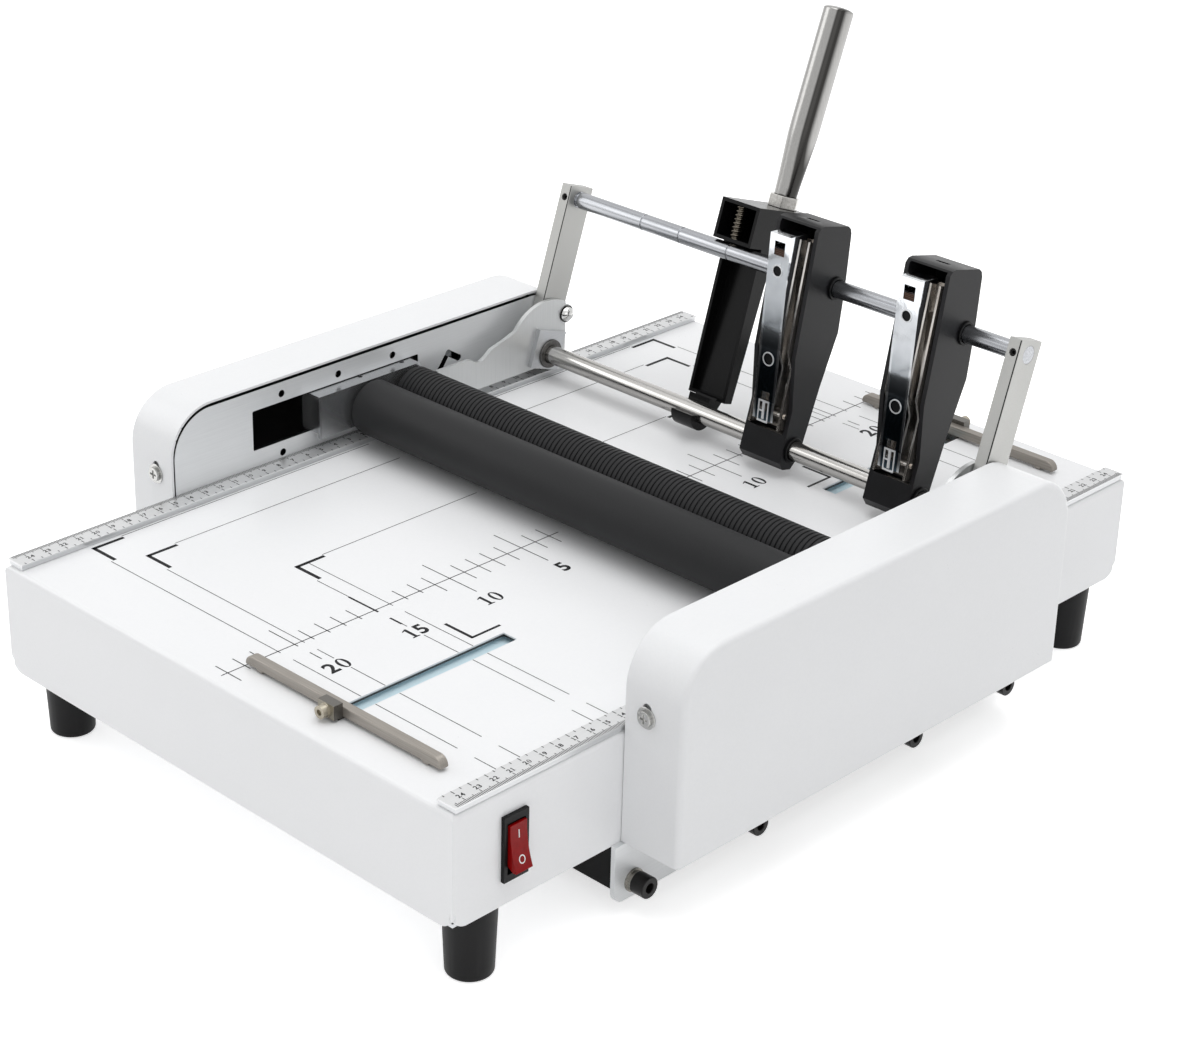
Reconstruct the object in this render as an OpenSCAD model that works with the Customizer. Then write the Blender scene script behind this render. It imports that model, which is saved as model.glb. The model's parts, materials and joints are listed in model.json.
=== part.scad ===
// Booklet maker: a table with two stops, driven fold rollers and a stapler frame that swings down.
// Millimetres, +X to the right cover, -Y to the near end, +Z up, floor at z = 0 under the table.

/* [Table] */

// Table width across
table_w = 325; // [310:1:345]
// Table length
table_l = 500; // [480:1:560]
// Height of the deck's top face
deck_z = 96.5; // [90:0.5:106]
// Height of the plinth's lower edge
plinth_z = 38; // [35:0.5:44]
// Thickness of the table's sheet
sheet_t = 2; // [1.5:0.1:2.6]
// Radius of the bends along the deck's edges
bend_r = 3; // [2.8:0.1:6]
// Radius of the plinth walls' lower corners
flange_corner_r = 9; // [4:0.5:14]
// Distance of both stop slots from the centre line
slot_x = 62.8; // [50:0.2:76]
// Width of a stop slot
slot_w = 9.2; // [7:0.1:11]
// Distance from the fold line to a slot's inner end
slot_inner = 118.6; // [110:0.2:126]
// Width of the fold blade's slit
slit_w = 2.6; // [2:0.1:5]
// Distance from the slit's end to the table's side
slit_margin = 15; // [12:0.5:24]
// Width of a side rule
rule_w = 11.8; // [9:0.1:16]
// Thickness of a side rule
rule_t = 1; // [0.5:0.1:2]
// Thickness of the bed under a rule
bed_t = 2.5; // [1.5:0.1:3.5]
// Distance from a rule's end to the table's end
rule_margin = 2; // [0.5:0.5:10]
// Diameter of a foot at its top
foot_top_d = 26; // [20:1:32]
// Diameter of a foot on the floor
foot_low_d = 23; // [16:1:28]
// Distance from a foot's axis to the table's side
foot_side = 14.5; // [14:0.5:30]
// Distance from a foot's axis to the table's end
foot_end = 24.2; // [15:0.1:50]
/* [Side plates and tray] */

// Thickness of a side plate
plate_t = 2.8; // [2:0.1:3.6]
// Height of a side plate's top edge above the deck
plate_rise = 47; // [45:0.5:56]
// Half length of a side plate's leg
leg_half = 150.5; // [146:0.5:160]
// Height of a leg's lower edge
leg_z = 7; // [3:0.5:10]
// Radius of a leg's lower corners
leg_r = 6; // [2:0.5:10]
// Window's lower edge above the deck
window_low = 12.8; // [11:0.1:13]
// Window's upper edge above the deck
window_high = 35.8; // [34.5:0.1:38]
// Half length of the under tray
tray_half = 146; // [130:1:156]
// Height of the under tray's floor
tray_z = 11; // [9:0.5:12]
// Sheet thickness of the under tray
tray_t = 2; // [1:0.1:3]
// Distance of the inner leg screws from the fold line
leg_screw_inner = 60; // [40:1:100]
// Height of the leg screws
leg_screw_z = 16; // [15.5:0.5:30]
// Diameter of a leg screw's shank
leg_screw_d = 6; // [4:0.5:8]
/* [Covers] */

// Depth of a cover across the machine
cover_depth = 35.5; // [32:0.5:45]
// Half length of a cover
cover_half = 144.5; // [143:0.5:156]
// Height of a cover's lower edge
cover_low = 38.5; // [38.4:0.1:60]
// Sheet thickness of a cover
cover_t = 1.5; // [0.8:0.1:1.7]
// Radius of a cover's upper corners seen from the side
cover_r = 27; // [14:0.5:28]
// Radius of a cover's outer upright edges
cover_edge_r = 3; // [2:0.5:8]
// Width of a cover's screw slot
cover_slot_w = 5; // [4.4:0.1:7]
// Height of a cover's screw slot
cover_slot_h = 11; // [9:0.5:18]
// Height of a cover screw
cover_screw_z = 109; // [95:0.5:112]
// Distance of a cover screw from the table's side
cover_screw_out = 13.5; // [9:0.5:18]
/* [Rollers] */

// Radius of the smooth roller
smooth_r = 15.55; // [15:0.05:16.4]
// Radius of the grooved roller
grooved_r = 14.7; // [14:0.05:15.4]
// Gap between the rollers
nip = 0.4; // [0.3:0.05:1.5]
// Height of the smooth roller over the deck
paper_gap = 5.15; // [4:0.05:6]
// Distance from a roller's end to the table's side
roller_inset = 12; // [11.5:0.1:20]
// Spacing of the grooved roller's rings
groove_pitch = 6; // [4:0.5:12]
// Width of a ring groove
groove_w = 1.2; // [0.6:0.1:3]
// Depth of a ring groove
groove_d = 1; // [0.5:0.1:3]
// Diameter of the rollers' steel cores
core_d = 20; // [14:0.5:22]
// Diameter of the shaft ends
shaft_d = 8; // [5:0.1:9]
// Number of teeth on each roller gear
gear_teeth = 20; // [16:2:24]
// Width of a roller gear
gear_w = 6; // [4:0.5:9]
// Diameter of the roller motor
motor_d = 44; // [34:1:48]
// Length of the roller motor
motor_l = 22; // [12:1:24]
/* [Carriage] */

// Distance from the fold line to a roller carrier's near end
carrier_near = 51; // [42:0.5:60]
// Distance from the fold line to a roller carrier's far end
carrier_far = 22; // [20:0.5:26]
// Sheet thickness of a roller carrier
carrier_t = 1.6; // [1:0.1:2]
// Gap between a carrier and the window's edges
carrier_gap = 0.6; // [0.4:0.1:1.2]
// Outer diameter of a bronze bush
bush_d = 11.2; // [10:0.2:11.2]
/* [Swinging frame] */

// Distance from the fold line to the lower rod
pivot_y = 118.8; // [117:0.1:120.4]
// Height of the lower rod above the deck
pivot_rise = 15.3; // [14:0.1:17]
// Lean of the arms away from the rollers in degrees
lean = 18.1; // [12:0.1:21]
// Angle through which the frame swings down
swing = 95; // [80:1:96]
// Distance between the rods
rod_pitch = 90; // [84:0.5:94]
// Diameter of the lower rod
lower_d = 10.8; // [9:0.1:11.4]
// Diameter of the upper rod
upper_d = 9.6; // [8:0.1:10]
// Diameter of the upper rod's necks
neck_d = 7; // [5:0.1:7.8]
// Thickness of an arm
arm_t = 7.6; // [6:0.1:9]
// Depth of an arm
arm_w = 18; // [15:0.5:20]
// Length of an arm above the upper rod
arm_over = 7.4; // [6.5:0.1:14]
// Gap between an arm and the side plate
arm_gap = 0.7; // [0.4:0.1:1.5]
// Thickness of a cheek plate
cheek_t = 2.5; // [1.5:0.1:3]
// Gap between an arm and the cheek plate
cheek_gap = 0.5; // [0.3:0.1:1]
// Radius of a cheek plate's lobe
lobe_r = 31.5; // [28:0.5:36]
// Radius from the lower rod to a crank pin
crank_r = 24.8; // [24:0.1:26]
// Angle of the cranks above the level in degrees
crank_start = 57; // [50:1:64]
// Thickness of a crank
crank_t = 3.8; // [2.5:0.1:5]
// Diameter of crank pins and carrier pins
pin_d = 4.6; // [3.5:0.1:5.2]
// Thickness of a link
link_t = 3; // [2:0.1:4]
/* [Handle] */

// Distance of the handle bracket's left side from the centre line
bracket_x = 50; // [42:0.5:60]
// Width of the handle bracket
bracket_w = 27; // [24:0.5:30]
// Sheet thickness of the handle bracket
bracket_t = 2; // [1:0.1:3]
// Depth of the bracket's upper box
box_depth = 46; // [42:0.5:54]
// Height of the bracket's upper box
box_h = 22.5; // [16:0.5:30]
// Distance of the handle behind the rods
handle_n = 32.5; // [26:0.5:33]
// Extra lean of the handle in degrees
handle_lean = 2.5; // [0:0.5:6]
// Diameter of the handle
handle_d = 17; // [14:0.5:22]
// Diameter of the handle at its nut
handle_neck_d = 13; // [11:0.5:15]
// Length of the handle from its nut
handle_l = 107; // [70:1:130]
/* [Staplers] */

// Centre of the left stapler
stapler_left_x = 21.7; // [12:0.1:28]
// Distance from the right stapler's centre to the table's side
stapler_right_in = 54.8; // [52:0.1:64]
// Width of a stapler housing
housing_w = 28.6; // [27:0.1:32]
// Wall of a stapler housing
housing_t = 2.5; // [1.5:0.1:3.4]
// Width of the rear channel
rear_w = 21; // [19:0.5:21.5]
// Width of the magazine
magazine_w = 14; // [11:0.5:16]
// Tilt of the magazine from the arms in degrees
magazine_tilt = 14.2; // [12:0.1:15]
// Sheet thickness of the stapler's channels
channel_t = 1.2; // [0.8:0.1:1.5]
/* [Stops] */

// Length of a stop bar
bar_l = 133; // [90:1:140]
// Centre of both stop bars from the centre line
bar_x = 66; // [60:0.5:70]
// Thickness of a stop bar
bar_t = 5; // [4:0.1:8]
// Height of a stop bar
bar_h = 5.2; // [4.8:0.1:9]
// Distance from a stop bar's axis to the table's end
bar_end = 23.5; // [20:0.5:30]
// Lift of the stops over the deck
stop_lift = 1.4; // [0.5:0.05:1.5]
/* [Blade] */

// Thickness of the fold blade
blade_t = 1; // [0.6:0.1:1.4]
// Height of the fold blade
blade_h = 30; // [26:1:31]
// Depth of the blade's edge below the deck
blade_drop = 1; // [0.5:0.1:2]
// Diameter of the blade's posts
post_d = 8; // [6:0.5:9]
// Distance of each post from the centre line
post_x = 110; // [90:1:125]
/* [Switch] */

// Height of the switch above the floor
switch_z = 67.5; // [60:0.5:74]
// Distance of the switch from the table's near end
switch_end = 36.5; // [20:0.5:70]
// Width of the switch's bezel
bezel_w = 15; // [14:0.1:20]
// Height of the switch's bezel
bezel_h = 33.5; // [30:0.5:40]
// Half of the rocker's throw in degrees
rocker_tilt = 10; // [5:0.5:12]

/* [Hidden] */

$fn = 48;
quarter_turn = 90;
half_turn = 180;
over = 1;
slip = 0.05;
clear = 0.3;
side_x = table_w / 2;
end_y = table_l / 2;
stapler_right_x = side_x - stapler_right_in;
deck_low = deck_z - sheet_t;
wall_x = side_x - sheet_t;
wall_y = end_y - sheet_t;
pan_t = 2;
pan_z = plinth_z + clear;
pan_top = pan_z + pan_t;
slot_end = 19;
slot_outer = end_y - slot_end;
slit_x = side_x - slit_margin;
rule_x = side_x - 0.2;
bed_inset = 0.5;
foot_rim = 1;
foot_hole_d = 9;
foot_hole_h = 6;

plate_out = side_x + plate_t;
plate_top = deck_z + plate_rise;
plate_low = plinth_z - 1;
leg_top = plinth_z + 0.2;
window_low_z = deck_z + window_low;
window_high_z = deck_z + window_high;
window_r = 1;
hole_d = 4.2;
hole_high_z = window_high_z + 4.6;
hole_low_z = window_low_z - 6.6;
notch_w = 4;
notch_neck = 0.15;
notch_path = [[-73.8, 6.2], [-67.3, 14.7], [-59.3, 9.7]];
tab_t = 2;
tab_l = 24;
tab_h = 18;
leg_screw_outer = leg_half - 12.5;
leg_head_d = 11;
leg_head_h = 8;
leg_socket_d = 5;
washer_d = 12;
washer_t = 1.2;
spring_d = 10.4;
spring_t = 1.5;
leg_shank = 7;

cover_in = side_x + 0.4;
cover_out = side_x + cover_depth;
cover_top = plate_top + cover_t + 1.5;
plate_half = cover_half - cover_t - 0.5;
arc_y = cover_half - cover_r;
arc_z = cover_top - cover_r;
plate_r = plate_half - arc_y;
screw_x = side_x + cover_screw_out;
cover_slot_z = cover_screw_z - 4;
screw_head_d = 7.6;
screw_head_h = 2.4;
screw_shank = 7;
cross_w = 1.1;
cross_l = 4.6;
cross_d = 1.2;

roller_half = side_x - roller_inset;
axle_z = deck_z + paper_gap + smooth_r;
smooth_y = -smooth_r - nip / 2;
grooved_y = grooved_r + nip / 2;
axle_pitch = grooved_y - smooth_y;
groove_count = floor((2 * roller_half - groove_pitch) / groove_pitch);
groove_start = -(groove_count - 1) * groove_pitch / 2;

web_x = roller_half + 3.5;
web_out = web_x + carrier_t;
web_low = window_low_z - 2;
channel_low = window_low_z + carrier_gap;
channel_high = window_high_z - carrier_gap;
outer_x = plate_out + 1.6;
outer_out = outer_x + carrier_t;
ear_y = 58;
ear_hole_d = shaft_d + 1.4;
strip_screw_d = 3;
bush_flange_d = bush_d + 6.8;
bush_flange_t = 1.2;
bush_tail = 2.4;
gear_x = outer_out + 1;
gear_end = gear_x + gear_w;
gear_pitch_r = axle_pitch / 2;
gear_m = axle_pitch / gear_teeth;
gear_root_r = gear_pitch_r - 1.15 * gear_m;
gear_tip_r = gear_pitch_r + 0.75 * gear_m;
tooth_root_w = 1.7 * gear_m;
tooth_tip_w = 0.6 * gear_m;
tooth_turn = 360 / gear_teeth;
shaft_left = gear_end + 0.8;
shaft_right = outer_out + 2.4;
motor_bore_l = 5;
motor_flange_d = 30;
motor_flange_l = 3;
motor_rim = 1.5;

pivot_z = deck_z + pivot_rise;
arm_out = side_x - arm_gap;
arm_in = arm_out - arm_t;
cheek_out = arm_in - cheek_gap;
cheek_in = cheek_out - cheek_t;
block_t = 3;
block_in = cheek_in - block_t;
cheek_near = -85.8;
cheek_far = 15.2;
cheek_low = 7.6;
cheek_top_path = [[-85.8, 27.3], [-60.8, 27.3], [-56.8, 24.6], [-52.6, 23.7], [-48.6, 25.7],
    [-44, 29], [-33.4, 31.7], [-22.8, 35.3], [-16.6, 40.5]];
block_near = -13;
block_rear = 9.4;
block_low = -9.4;
block_top = 13.5;
bushing_d = 17;
bushing_proud = 1.2;
stop_u = 23.6;
stop_d = 6;
stop_n = arm_w / 2 + 0.4 + stop_d / 2;
stud_d = 4;
dome_n = 8.8;
dome_d = 9;
dome_h = 3.4;
bolt_ear_r = 5.6;
dome_washer_t = 0.8;
spacer_front_y = 42;
spacer_front_z = 11.5;
spacer_front_d = 7;
spacer_rear_y = 11.4;
spacer_rear_z = -5.2;
spacer_rear_d = 5;
spacer_bolt_d = 3;
grub_d = 4;
grub_sink = 1;
grub_socket_d = 2;
ring_marks = [-102, -73.5, -38];
ring_w = 1;
ring_d = 0.5;
neck_l = 2.3;

crank_x = plate_out + 1.5;
crank_out = crank_x + crank_t;
crank_hub_r = 10;
crank_eye_r = pin_d / 2 + 1.25;
carriage_travel = crank_r * (cos(crank_start) - cos(crank_start + swing));
window_spare = 3.84;
window_near = carrier_near + carriage_travel + window_spare;
window_far = carrier_far + 6.5;
link_x = crank_out + 0.6;
link_out = link_x + link_t;
pin_y = pivot_y + crank_r * cos(crank_start);
pin_z = pivot_z + crank_r * sin(crank_start);
pin_end = link_out + 0.5;
pin_head_d = pin_d + 2.6;
pin_head_t = 1.4;
hole_near = 70;
hole_mid = 30;
hole_far = 9.5;
ear_pin_y = 48;
ear_pin_z = axle_z + 2.8;
link_rise = crank_r * (1 - sin(crank_start));
link_fall = crank_r * (sin(crank_start) - sin(crank_start + swing));
link_lead = 3.2;
link_frame = 2.8;
link_slot_low = ear_pin_z - link_rise - pin_d / 2 - 0.6;
link_slot_high = ear_pin_z + max(link_fall, 0) + pin_d / 2 + 0.6;
link_slot_near = ear_pin_y - pin_d / 2 - 0.6;
link_slot_far = ear_pin_y + pin_d / 2 + link_lead;

bracket_far = bracket_x - bracket_w;
bracket_mid = -bracket_x + bracket_w / 2;
box_n = -4;
box_u = rod_pitch + upper_d / 2 + 0.9;
box_top = box_u + box_h;
spine_top_n = 6.2;
spine_low_n = 9;
spine_top_rear = 18;
spine_low_rear = 15;
spine_low_u = 8;
tongue_w = 15;
tongue_n = 6.4;
tongue_u = 5;
hook_r = 9.5;
hook_cut_n = 3;
hook_cut_u = -1;
clamp_x = -38;
clamp_d = 4;
clamp_tip_d = 5.4;
clamp_tip_l = 5;
clamp_ring_d = 6.4;
clamp_ring_t = 1.2;
clamp_rings = 6;
clamp_ring_pitch = 2.5;
clamp_low = rod_pitch + upper_d / 2 + clear;
nut_af = 15.6;
nut_h = 7;
nut_top = box_top + nut_h;
nut_sides = 6;
taper_l = 34;
cap_h = 2.2;
cap_r = (handle_d * handle_d / 4 + cap_h * cap_h) / (2 * cap_h);

housing_outline = [[-4, -11.5], [2.5, -11], [5, -7], [7.7, 4], [9.6, 36], [13, 66],
    [10.5, rod_pitch - 10], [7, rod_pitch + 7], [1.5, rod_pitch + 30], [0, rod_pitch + 32.4],
    [-2.5, rod_pitch + 33.6], [-23, rod_pitch + 31.8], [-25.6, rod_pitch + 30.6],
    [-27, rod_pitch + 28], [-22, rod_pitch - 10], [-18.5, 50], [-9, 21], [-8.2, -8]];
cavity_top = rod_pitch + 29.5;
cavity_outline = [[-45, 7.4], [3, 7.4], [7, 36], [9.5, 64], [7.2, rod_pitch - 10],
    [4.2, rod_pitch + 7], [-3, cavity_top], [-45, cavity_top]];
top_slot_l = 8;
top_slot_w = 3;
top_slot_n = -15;
top_slot_u = rod_pitch + 31.6;
top_slot_h = 4;
boss_half = 6;
boss_low = 20;
boss_mid = 30;
boss_high = rod_pitch + 13;
boss_top = boss_high + 7;
boss_low_n = 7.6;
boss_high_n = 3;
rear_low_n = 0.6;
rear_top_n = -9;
rear_low = 9;
rear_top = rod_pitch + 22;
flange_path = [[-27, rear_top], [-20.5, 52], [-13.8, 42], [-12.2, 9]];
tilt_n = -9.1;
tilt_u = 17.1;
rivet_d = 3;
rivet_cap = 0.8;
mag_front = -5.8;
mag_rear = 2.4;
mag_low = -3.5;
mag_top = rod_pitch + 9.8;
nose_low = rod_pitch - 8;
nose_rear = 7.6;
nose_slit_l = 10;
nose_slit_w = 1;
nose_slit_d = 6;
nose_slit_m = -3;
nose_window = 7;
nose_window_h = 7.6;
nose_window_v = nose_low + 6.3;
nose_window_d = 9;
eye_d = 5.6;
eye_v = nose_low - 2;
screw_eye_d = 6.4;
screw_eye_v = 31;
tab_window_w = 6.4;
tab_window_h = 11;
tab_window_v = 1.5;

stop_y = end_y - bar_end;
stop_z = deck_z + stop_lift;
bar_near = stop_y - bar_t / 2;
bar_far = stop_y + bar_t / 2;
bar_r = 4.6;
bar_foot_in = 10;
bar_foot_l = 4;
bar_foot_h = stop_lift - clear;
clamp_w = 11;
clamp_h = 7.4;
clamp_l = 5.4;
stem_w = slot_w - 0.7;
stem_near = bar_near + 0.8;
stem_far = bar_far + 1.2;
rail_foot_w = slot_w + 4.4;
rail_foot_t = 1.5;
rail_foot_l = 11;
rail_foot_z = deck_low - 0.4 - rail_foot_t;
thumb_d = 6.4;
thumb_l = 3.2;
thumb_washer_d = 7;
thumb_washer_t = 0.8;
thumb_socket_d = 3;
rail_t = 1.5;
rail_w = rail_foot_w + 1.2 + 2 * rail_t;
rail_z = rail_foot_z - 0.4 - rail_t;
rail_near = slot_inner - 4;
rail_far = slot_outer + 4;

blade_x = slit_x - over;
blade_top = deck_z - blade_drop;
blade_low = blade_top - blade_h;
slide_w = 18;
slide_l = 14;
slide_h = 12;
post_y = 9;
post_foot_d = 16;
post_foot_h = 3;
plunger_d = 10;
plunger_low = pan_top + 2;
coil_w = 40;
coil_l = 36;
coil_h = 22;
coil_top = pan_top + coil_h;
coil_floor = 1;
fork_low = coil_top + 0.5;
fork_w = 14;
fork_l = 5;
fork_rise = 5;

switch_y = -end_y + switch_end;
bezel_t = 2.2;
switch_body_w = 13;
switch_body_h = 29;
switch_body_l = 16;
switch_cavity = 8;
rocker_opening_w = 11;
rocker_opening_h = 26;
rocker_w = 10.2;
rocker_half = 11.6;
rocker_front = 5.2;
rocker_skirt = 2.2;
rocker_dish = 1.2;
rocker_dish_r = (rocker_half * rocker_half + rocker_dish * rocker_dish) / (2 * rocker_dish);
rocker_axis_x = side_x + clear;
rocker_back = -6;
rocker_back_h = 4;
trunnion_d = 3;
trunnion_l = 0.7;
inlet_x = 56.5 - side_x;
inlet_w = 28;
inlet_h = 22;
inlet_z = 66;
inlet_l = 22;
inlet_rim = 4;
inlet_rim_t = 2;
inlet_wall = 3;
inlet_depth = 15;
inlet_pin_w = 2;
inlet_pin_h = 6;
inlet_pin_l = 12;
inlet_pin_pitch = 7;
board_w = 90;
board_l = 60;
board_t = 1.6;
board_x = wall_x - 71;
board_y = 58.5 - wall_y;
board_lift = 6;
standoff_d = 6;
standoff_inset = 6;
chip_w = 16;
chip_h = 5;
relay_w = 20;
relay_h = 15;
cap_d = 10;
cap_l = 14;

white = [0.93, 0.94, 0.95];
light = [0.80, 0.82, 0.84];
steel = [0.70, 0.72, 0.75];
chrome = [0.84, 0.87, 0.90];
beige = [0.72, 0.69, 0.64];
bronze = [0.63, 0.50, 0.30];
black = [0.10, 0.10, 0.11];
rubber = [0.17, 0.18, 0.20];
red = [0.72, 0.08, 0.08];
green = [0.10, 0.35, 0.20];

module plate_x(x0, t) {
    translate([x0, 0, 0]) rotate([quarter_turn, 0, quarter_turn]) linear_extrude(t) children();
}

module rod_x(x0, x1, d, y, z) {
    translate([x0, y, z]) rotate([0, quarter_turn, 0]) cylinder(h = x1 - x0, d = d);
}

module block(x0, x1, y0, y1, z0, z1) {
    translate([x0, y0, z0]) cube([x1 - x0, y1 - y0, z1 - z0]);
}

module area(x0, x1, y0, y1) {
    translate([x0, y0]) square([x1 - x0, y1 - y0]);
}

module both_sides() {
    children();
    mirror([1, 0, 0]) children();
}

module both_ends() {
    children();
    mirror([0, 1, 0]) children();
}

module corner_cut(r) {
    difference() {
        area(0, r + over, 0, r + over);
        circle(r);
    }
}

module four_corners(x, y) {
    for (sx = [0, 1]) {
        for (sy = [0, 1]) {
            mirror([sx, 0]) mirror([0, sy]) translate([x, y]) children();
        }
    }
}

module slot_area(w, h) {
    area(-w / 2, w / 2, 0, h - w);
    circle(d = w);
    translate([0, h - w]) circle(d = w);
}

module in_arm() {
    translate([0, pivot_y, pivot_z]) rotate([-lean, 0, 0]) children();
}

module in_magazine() {
    in_arm() translate([0, tilt_n, tilt_u]) rotate([magazine_tilt, 0, 0]) children();
}

module rounded_slab(x, y, z0, z1, r) {
    intersection() {
        rotate([quarter_turn, 0, 0]) translate([0, 0, -y]) linear_extrude(2 * y) top_rounded(x, z0, z1, r);
        plate_x(-x, 2 * x) top_rounded(y, z0, z1, r);
    }
}

module top_rounded(half, z0, z1, r) {
    difference() {
        area(-half, half, z0, z1);
        for (s = [0, 1]) {
            mirror([s, 0]) translate([half - r, z1 - r]) corner_cut(r);
        }
    }
}

// Table

module table_top() {
    color(white) difference() {
        rounded_slab(side_x, end_y, plinth_z, deck_z, bend_r);
        rounded_slab(wall_x, wall_y, plinth_z - over, deck_low, bend_r - sheet_t);
        both_ends() stop_slot();
        block(-slit_x, slit_x, -slit_w / 2, slit_w / 2, deck_low - over, deck_z + over);
        both_sides() flange_cut_side();
        both_ends() flange_cut_end();
        switch_hole();
        inlet_hole();
    }
}

module stop_slot() {
    block(slot_x - slot_w / 2, slot_x + slot_w / 2, slot_inner, slot_outer, deck_low - over, deck_z + over);
}

module flange_cut_side() {
    plate_x(wall_x, sheet_t + over) for (s = [0, 1]) {
        mirror([s, 0]) translate([end_y - flange_corner_r, plinth_z + flange_corner_r])
            mirror([0, 1]) corner_cut(flange_corner_r);
    }
}

module flange_cut_end() {
    translate([0, end_y + over, 0]) rotate([quarter_turn, 0, 0]) linear_extrude(sheet_t + over)
        for (s = [0, 1]) {
            mirror([s, 0]) translate([side_x - flange_corner_r, plinth_z + flange_corner_r])
                mirror([0, 1]) corner_cut(flange_corner_r);
        }
}

module switch_hole() {
    block(wall_x - over, side_x + over, switch_y - switch_body_w / 2, switch_y + switch_body_w / 2,
        switch_z - switch_body_h / 2, switch_z + switch_body_h / 2);
}

module inlet_hole() {
    block(inlet_x - inlet_w / 2, inlet_x + inlet_w / 2, wall_y - over, end_y + over,
        inlet_z - inlet_h / 2, inlet_z + inlet_h / 2);
}

module base_pan() {
    color(light) block(-wall_x, wall_x, -wall_y, wall_y, pan_z, pan_top);
}

module rubber_feet() {
    color(black) four_corners(side_x - foot_side, end_y - foot_end) difference() {
        union() {
            cylinder(h = foot_rim, d1 = foot_low_d - 2 * foot_rim, d2 = foot_low_d);
            translate([0, 0, foot_rim]) cylinder(h = pan_z - foot_rim, d1 = foot_low_d, d2 = foot_top_d);
        }
        translate([0, 0, -over]) cylinder(h = foot_hole_h + over, d = foot_hole_d);
    }
}

module side_rules() {
    color(steel) both_sides() block(rule_x - rule_w, rule_x, -end_y + rule_margin, end_y - rule_margin,
        deck_z + bed_t, deck_z + bed_t + rule_t);
}

module rule_beds() {
    color(light) both_sides() block(rule_x - rule_w + bed_inset, rule_x - bed_inset,
        -end_y + rule_margin + bed_inset, end_y - rule_margin - bed_inset, deck_z, deck_z + bed_t);
}

module slot_channels() {
    color(steel) both_ends() translate([slot_x, rail_far, 0]) rotate([quarter_turn, 0, 0])
        linear_extrude(rail_far - rail_near) difference() {
            area(-rail_w / 2, rail_w / 2, rail_z, deck_low);
            area(-rail_w / 2 + rail_t, rail_w / 2 - rail_t, rail_z + rail_t, deck_low + over);
        }
}

// Side plates and tray

module left_side_plate() {
    mirror([1, 0, 0]) side_plate();
}

module right_side_plate() {
    side_plate();
}

module side_plate() {
    color(light) {
        difference() {
            union() {
                plate_x(side_x, plate_t) plate_outline();
                both_ends() cover_tab();
            }
            both_ends() screw_y(hole_d, tab_t + 2 * over, plate_half + over);
        }
    }
}

module plate_outline() {
    difference() {
        union() {
            top_rounded(plate_half, plate_low, plate_top, plate_r);
            leg_outline();
        }
        window_outline();
        translate([pivot_y, pivot_z]) circle(d = lower_d + 0.8);
        notch_outline();
        for (y = [-hole_near, -hole_mid, hole_far]) {
            translate([y, hole_high_z]) circle(d = hole_d);
        }
        translate([-hole_near, hole_low_z]) circle(d = hole_d);
        translate([spacer_front_y, deck_z + spacer_front_z]) circle(d = hole_d);
        translate([pivot_y + spacer_rear_y, pivot_z + spacer_rear_z]) circle(d = spacer_bolt_d + 2 * slip);
        translate([stop_point_y, stop_point_z]) circle(d = stud_d + 2 * slip);
        for (y = [-leg_screw_outer, -leg_screw_inner, leg_screw_inner, leg_screw_outer]) {
            translate([y, leg_screw_z]) circle(d = leg_screw_d + 2 * slip);
        }
    }
}

module leg_outline() {
    difference() {
        area(-leg_half, leg_half, leg_z, leg_top);
        for (s = [0, 1]) {
            mirror([s, 0]) translate([leg_half - leg_r, leg_z + leg_r]) mirror([0, 1]) corner_cut(leg_r);
        }
    }
}

module window_outline() {
    difference() {
        area(-window_near, window_far, window_low_z, window_high_z);
        translate([window_far - window_r, window_high_z - window_r]) corner_cut(window_r);
        translate([window_far - window_r, window_low_z + window_r]) mirror([0, 1]) corner_cut(window_r);
        translate([-window_near + window_r, window_high_z - window_r]) mirror([1, 0]) corner_cut(window_r);
        translate([-window_near + window_r, window_low_z + window_r]) mirror([1, 0]) mirror([0, 1])
            corner_cut(window_r);
    }
}

module notch_outline() {
    translate([pivot_y, pivot_z]) {
        for (p = notch_path) {
            translate(p) circle(d = notch_w);
        }
        for (i = [0, 1]) {
            notch_bar(notch_path[i], notch_path[i + 1]);
        }
    }
}

module notch_bar(a, b) {
    half = notch_w / 2 - notch_neck;
    translate(a) rotate(atan2(b[1] - a[1], b[0] - a[0])) area(0, norm(b - a), -half, half);
}

module cover_tab() {
    block(side_x, side_x + tab_l, plate_half - tab_t, plate_half,
        cover_screw_z - tab_h / 2, cover_screw_z + tab_h / 2);
}

module screw_y(d, l, y) {
    translate([screw_x, y, cover_screw_z]) rotate([quarter_turn, 0, 0]) cylinder(h = l, d = d);
}

module left_cover() {
    mirror([1, 0, 0]) cover();
}

module right_cover() {
    cover();
}

module cover() {
    color(white) difference() {
        cover_body(cover_in, 0, cover_low);
        cover_body(cover_in - over, cover_t, cover_low - over);
        both_ends() cover_slot();
    }
}

module cover_body(x0, inset, z0) {
    out = cover_out - inset;
    edge = cover_edge_r - inset;
    r = cover_r - inset;
    translate([0, 0, z0]) linear_extrude(arc_z - z0) cover_plan(x0, out, arc_y + r, edge);
    translate([0, arc_y, 0]) rotate([quarter_turn, 0, 0]) linear_extrude(2 * arc_y) difference() {
        area(x0, out, arc_z, arc_z + r);
        translate([out - edge, arc_z + r - edge]) corner_cut(edge);
    }
    both_ends() translate([0, arc_y, arc_z]) rotate([quarter_turn, 0, quarter_turn])
        rotate_extrude(angle = quarter_turn) difference() {
            area(0, r, x0, out);
            translate([r - edge, out - edge]) corner_cut(edge);
        }
}

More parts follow.
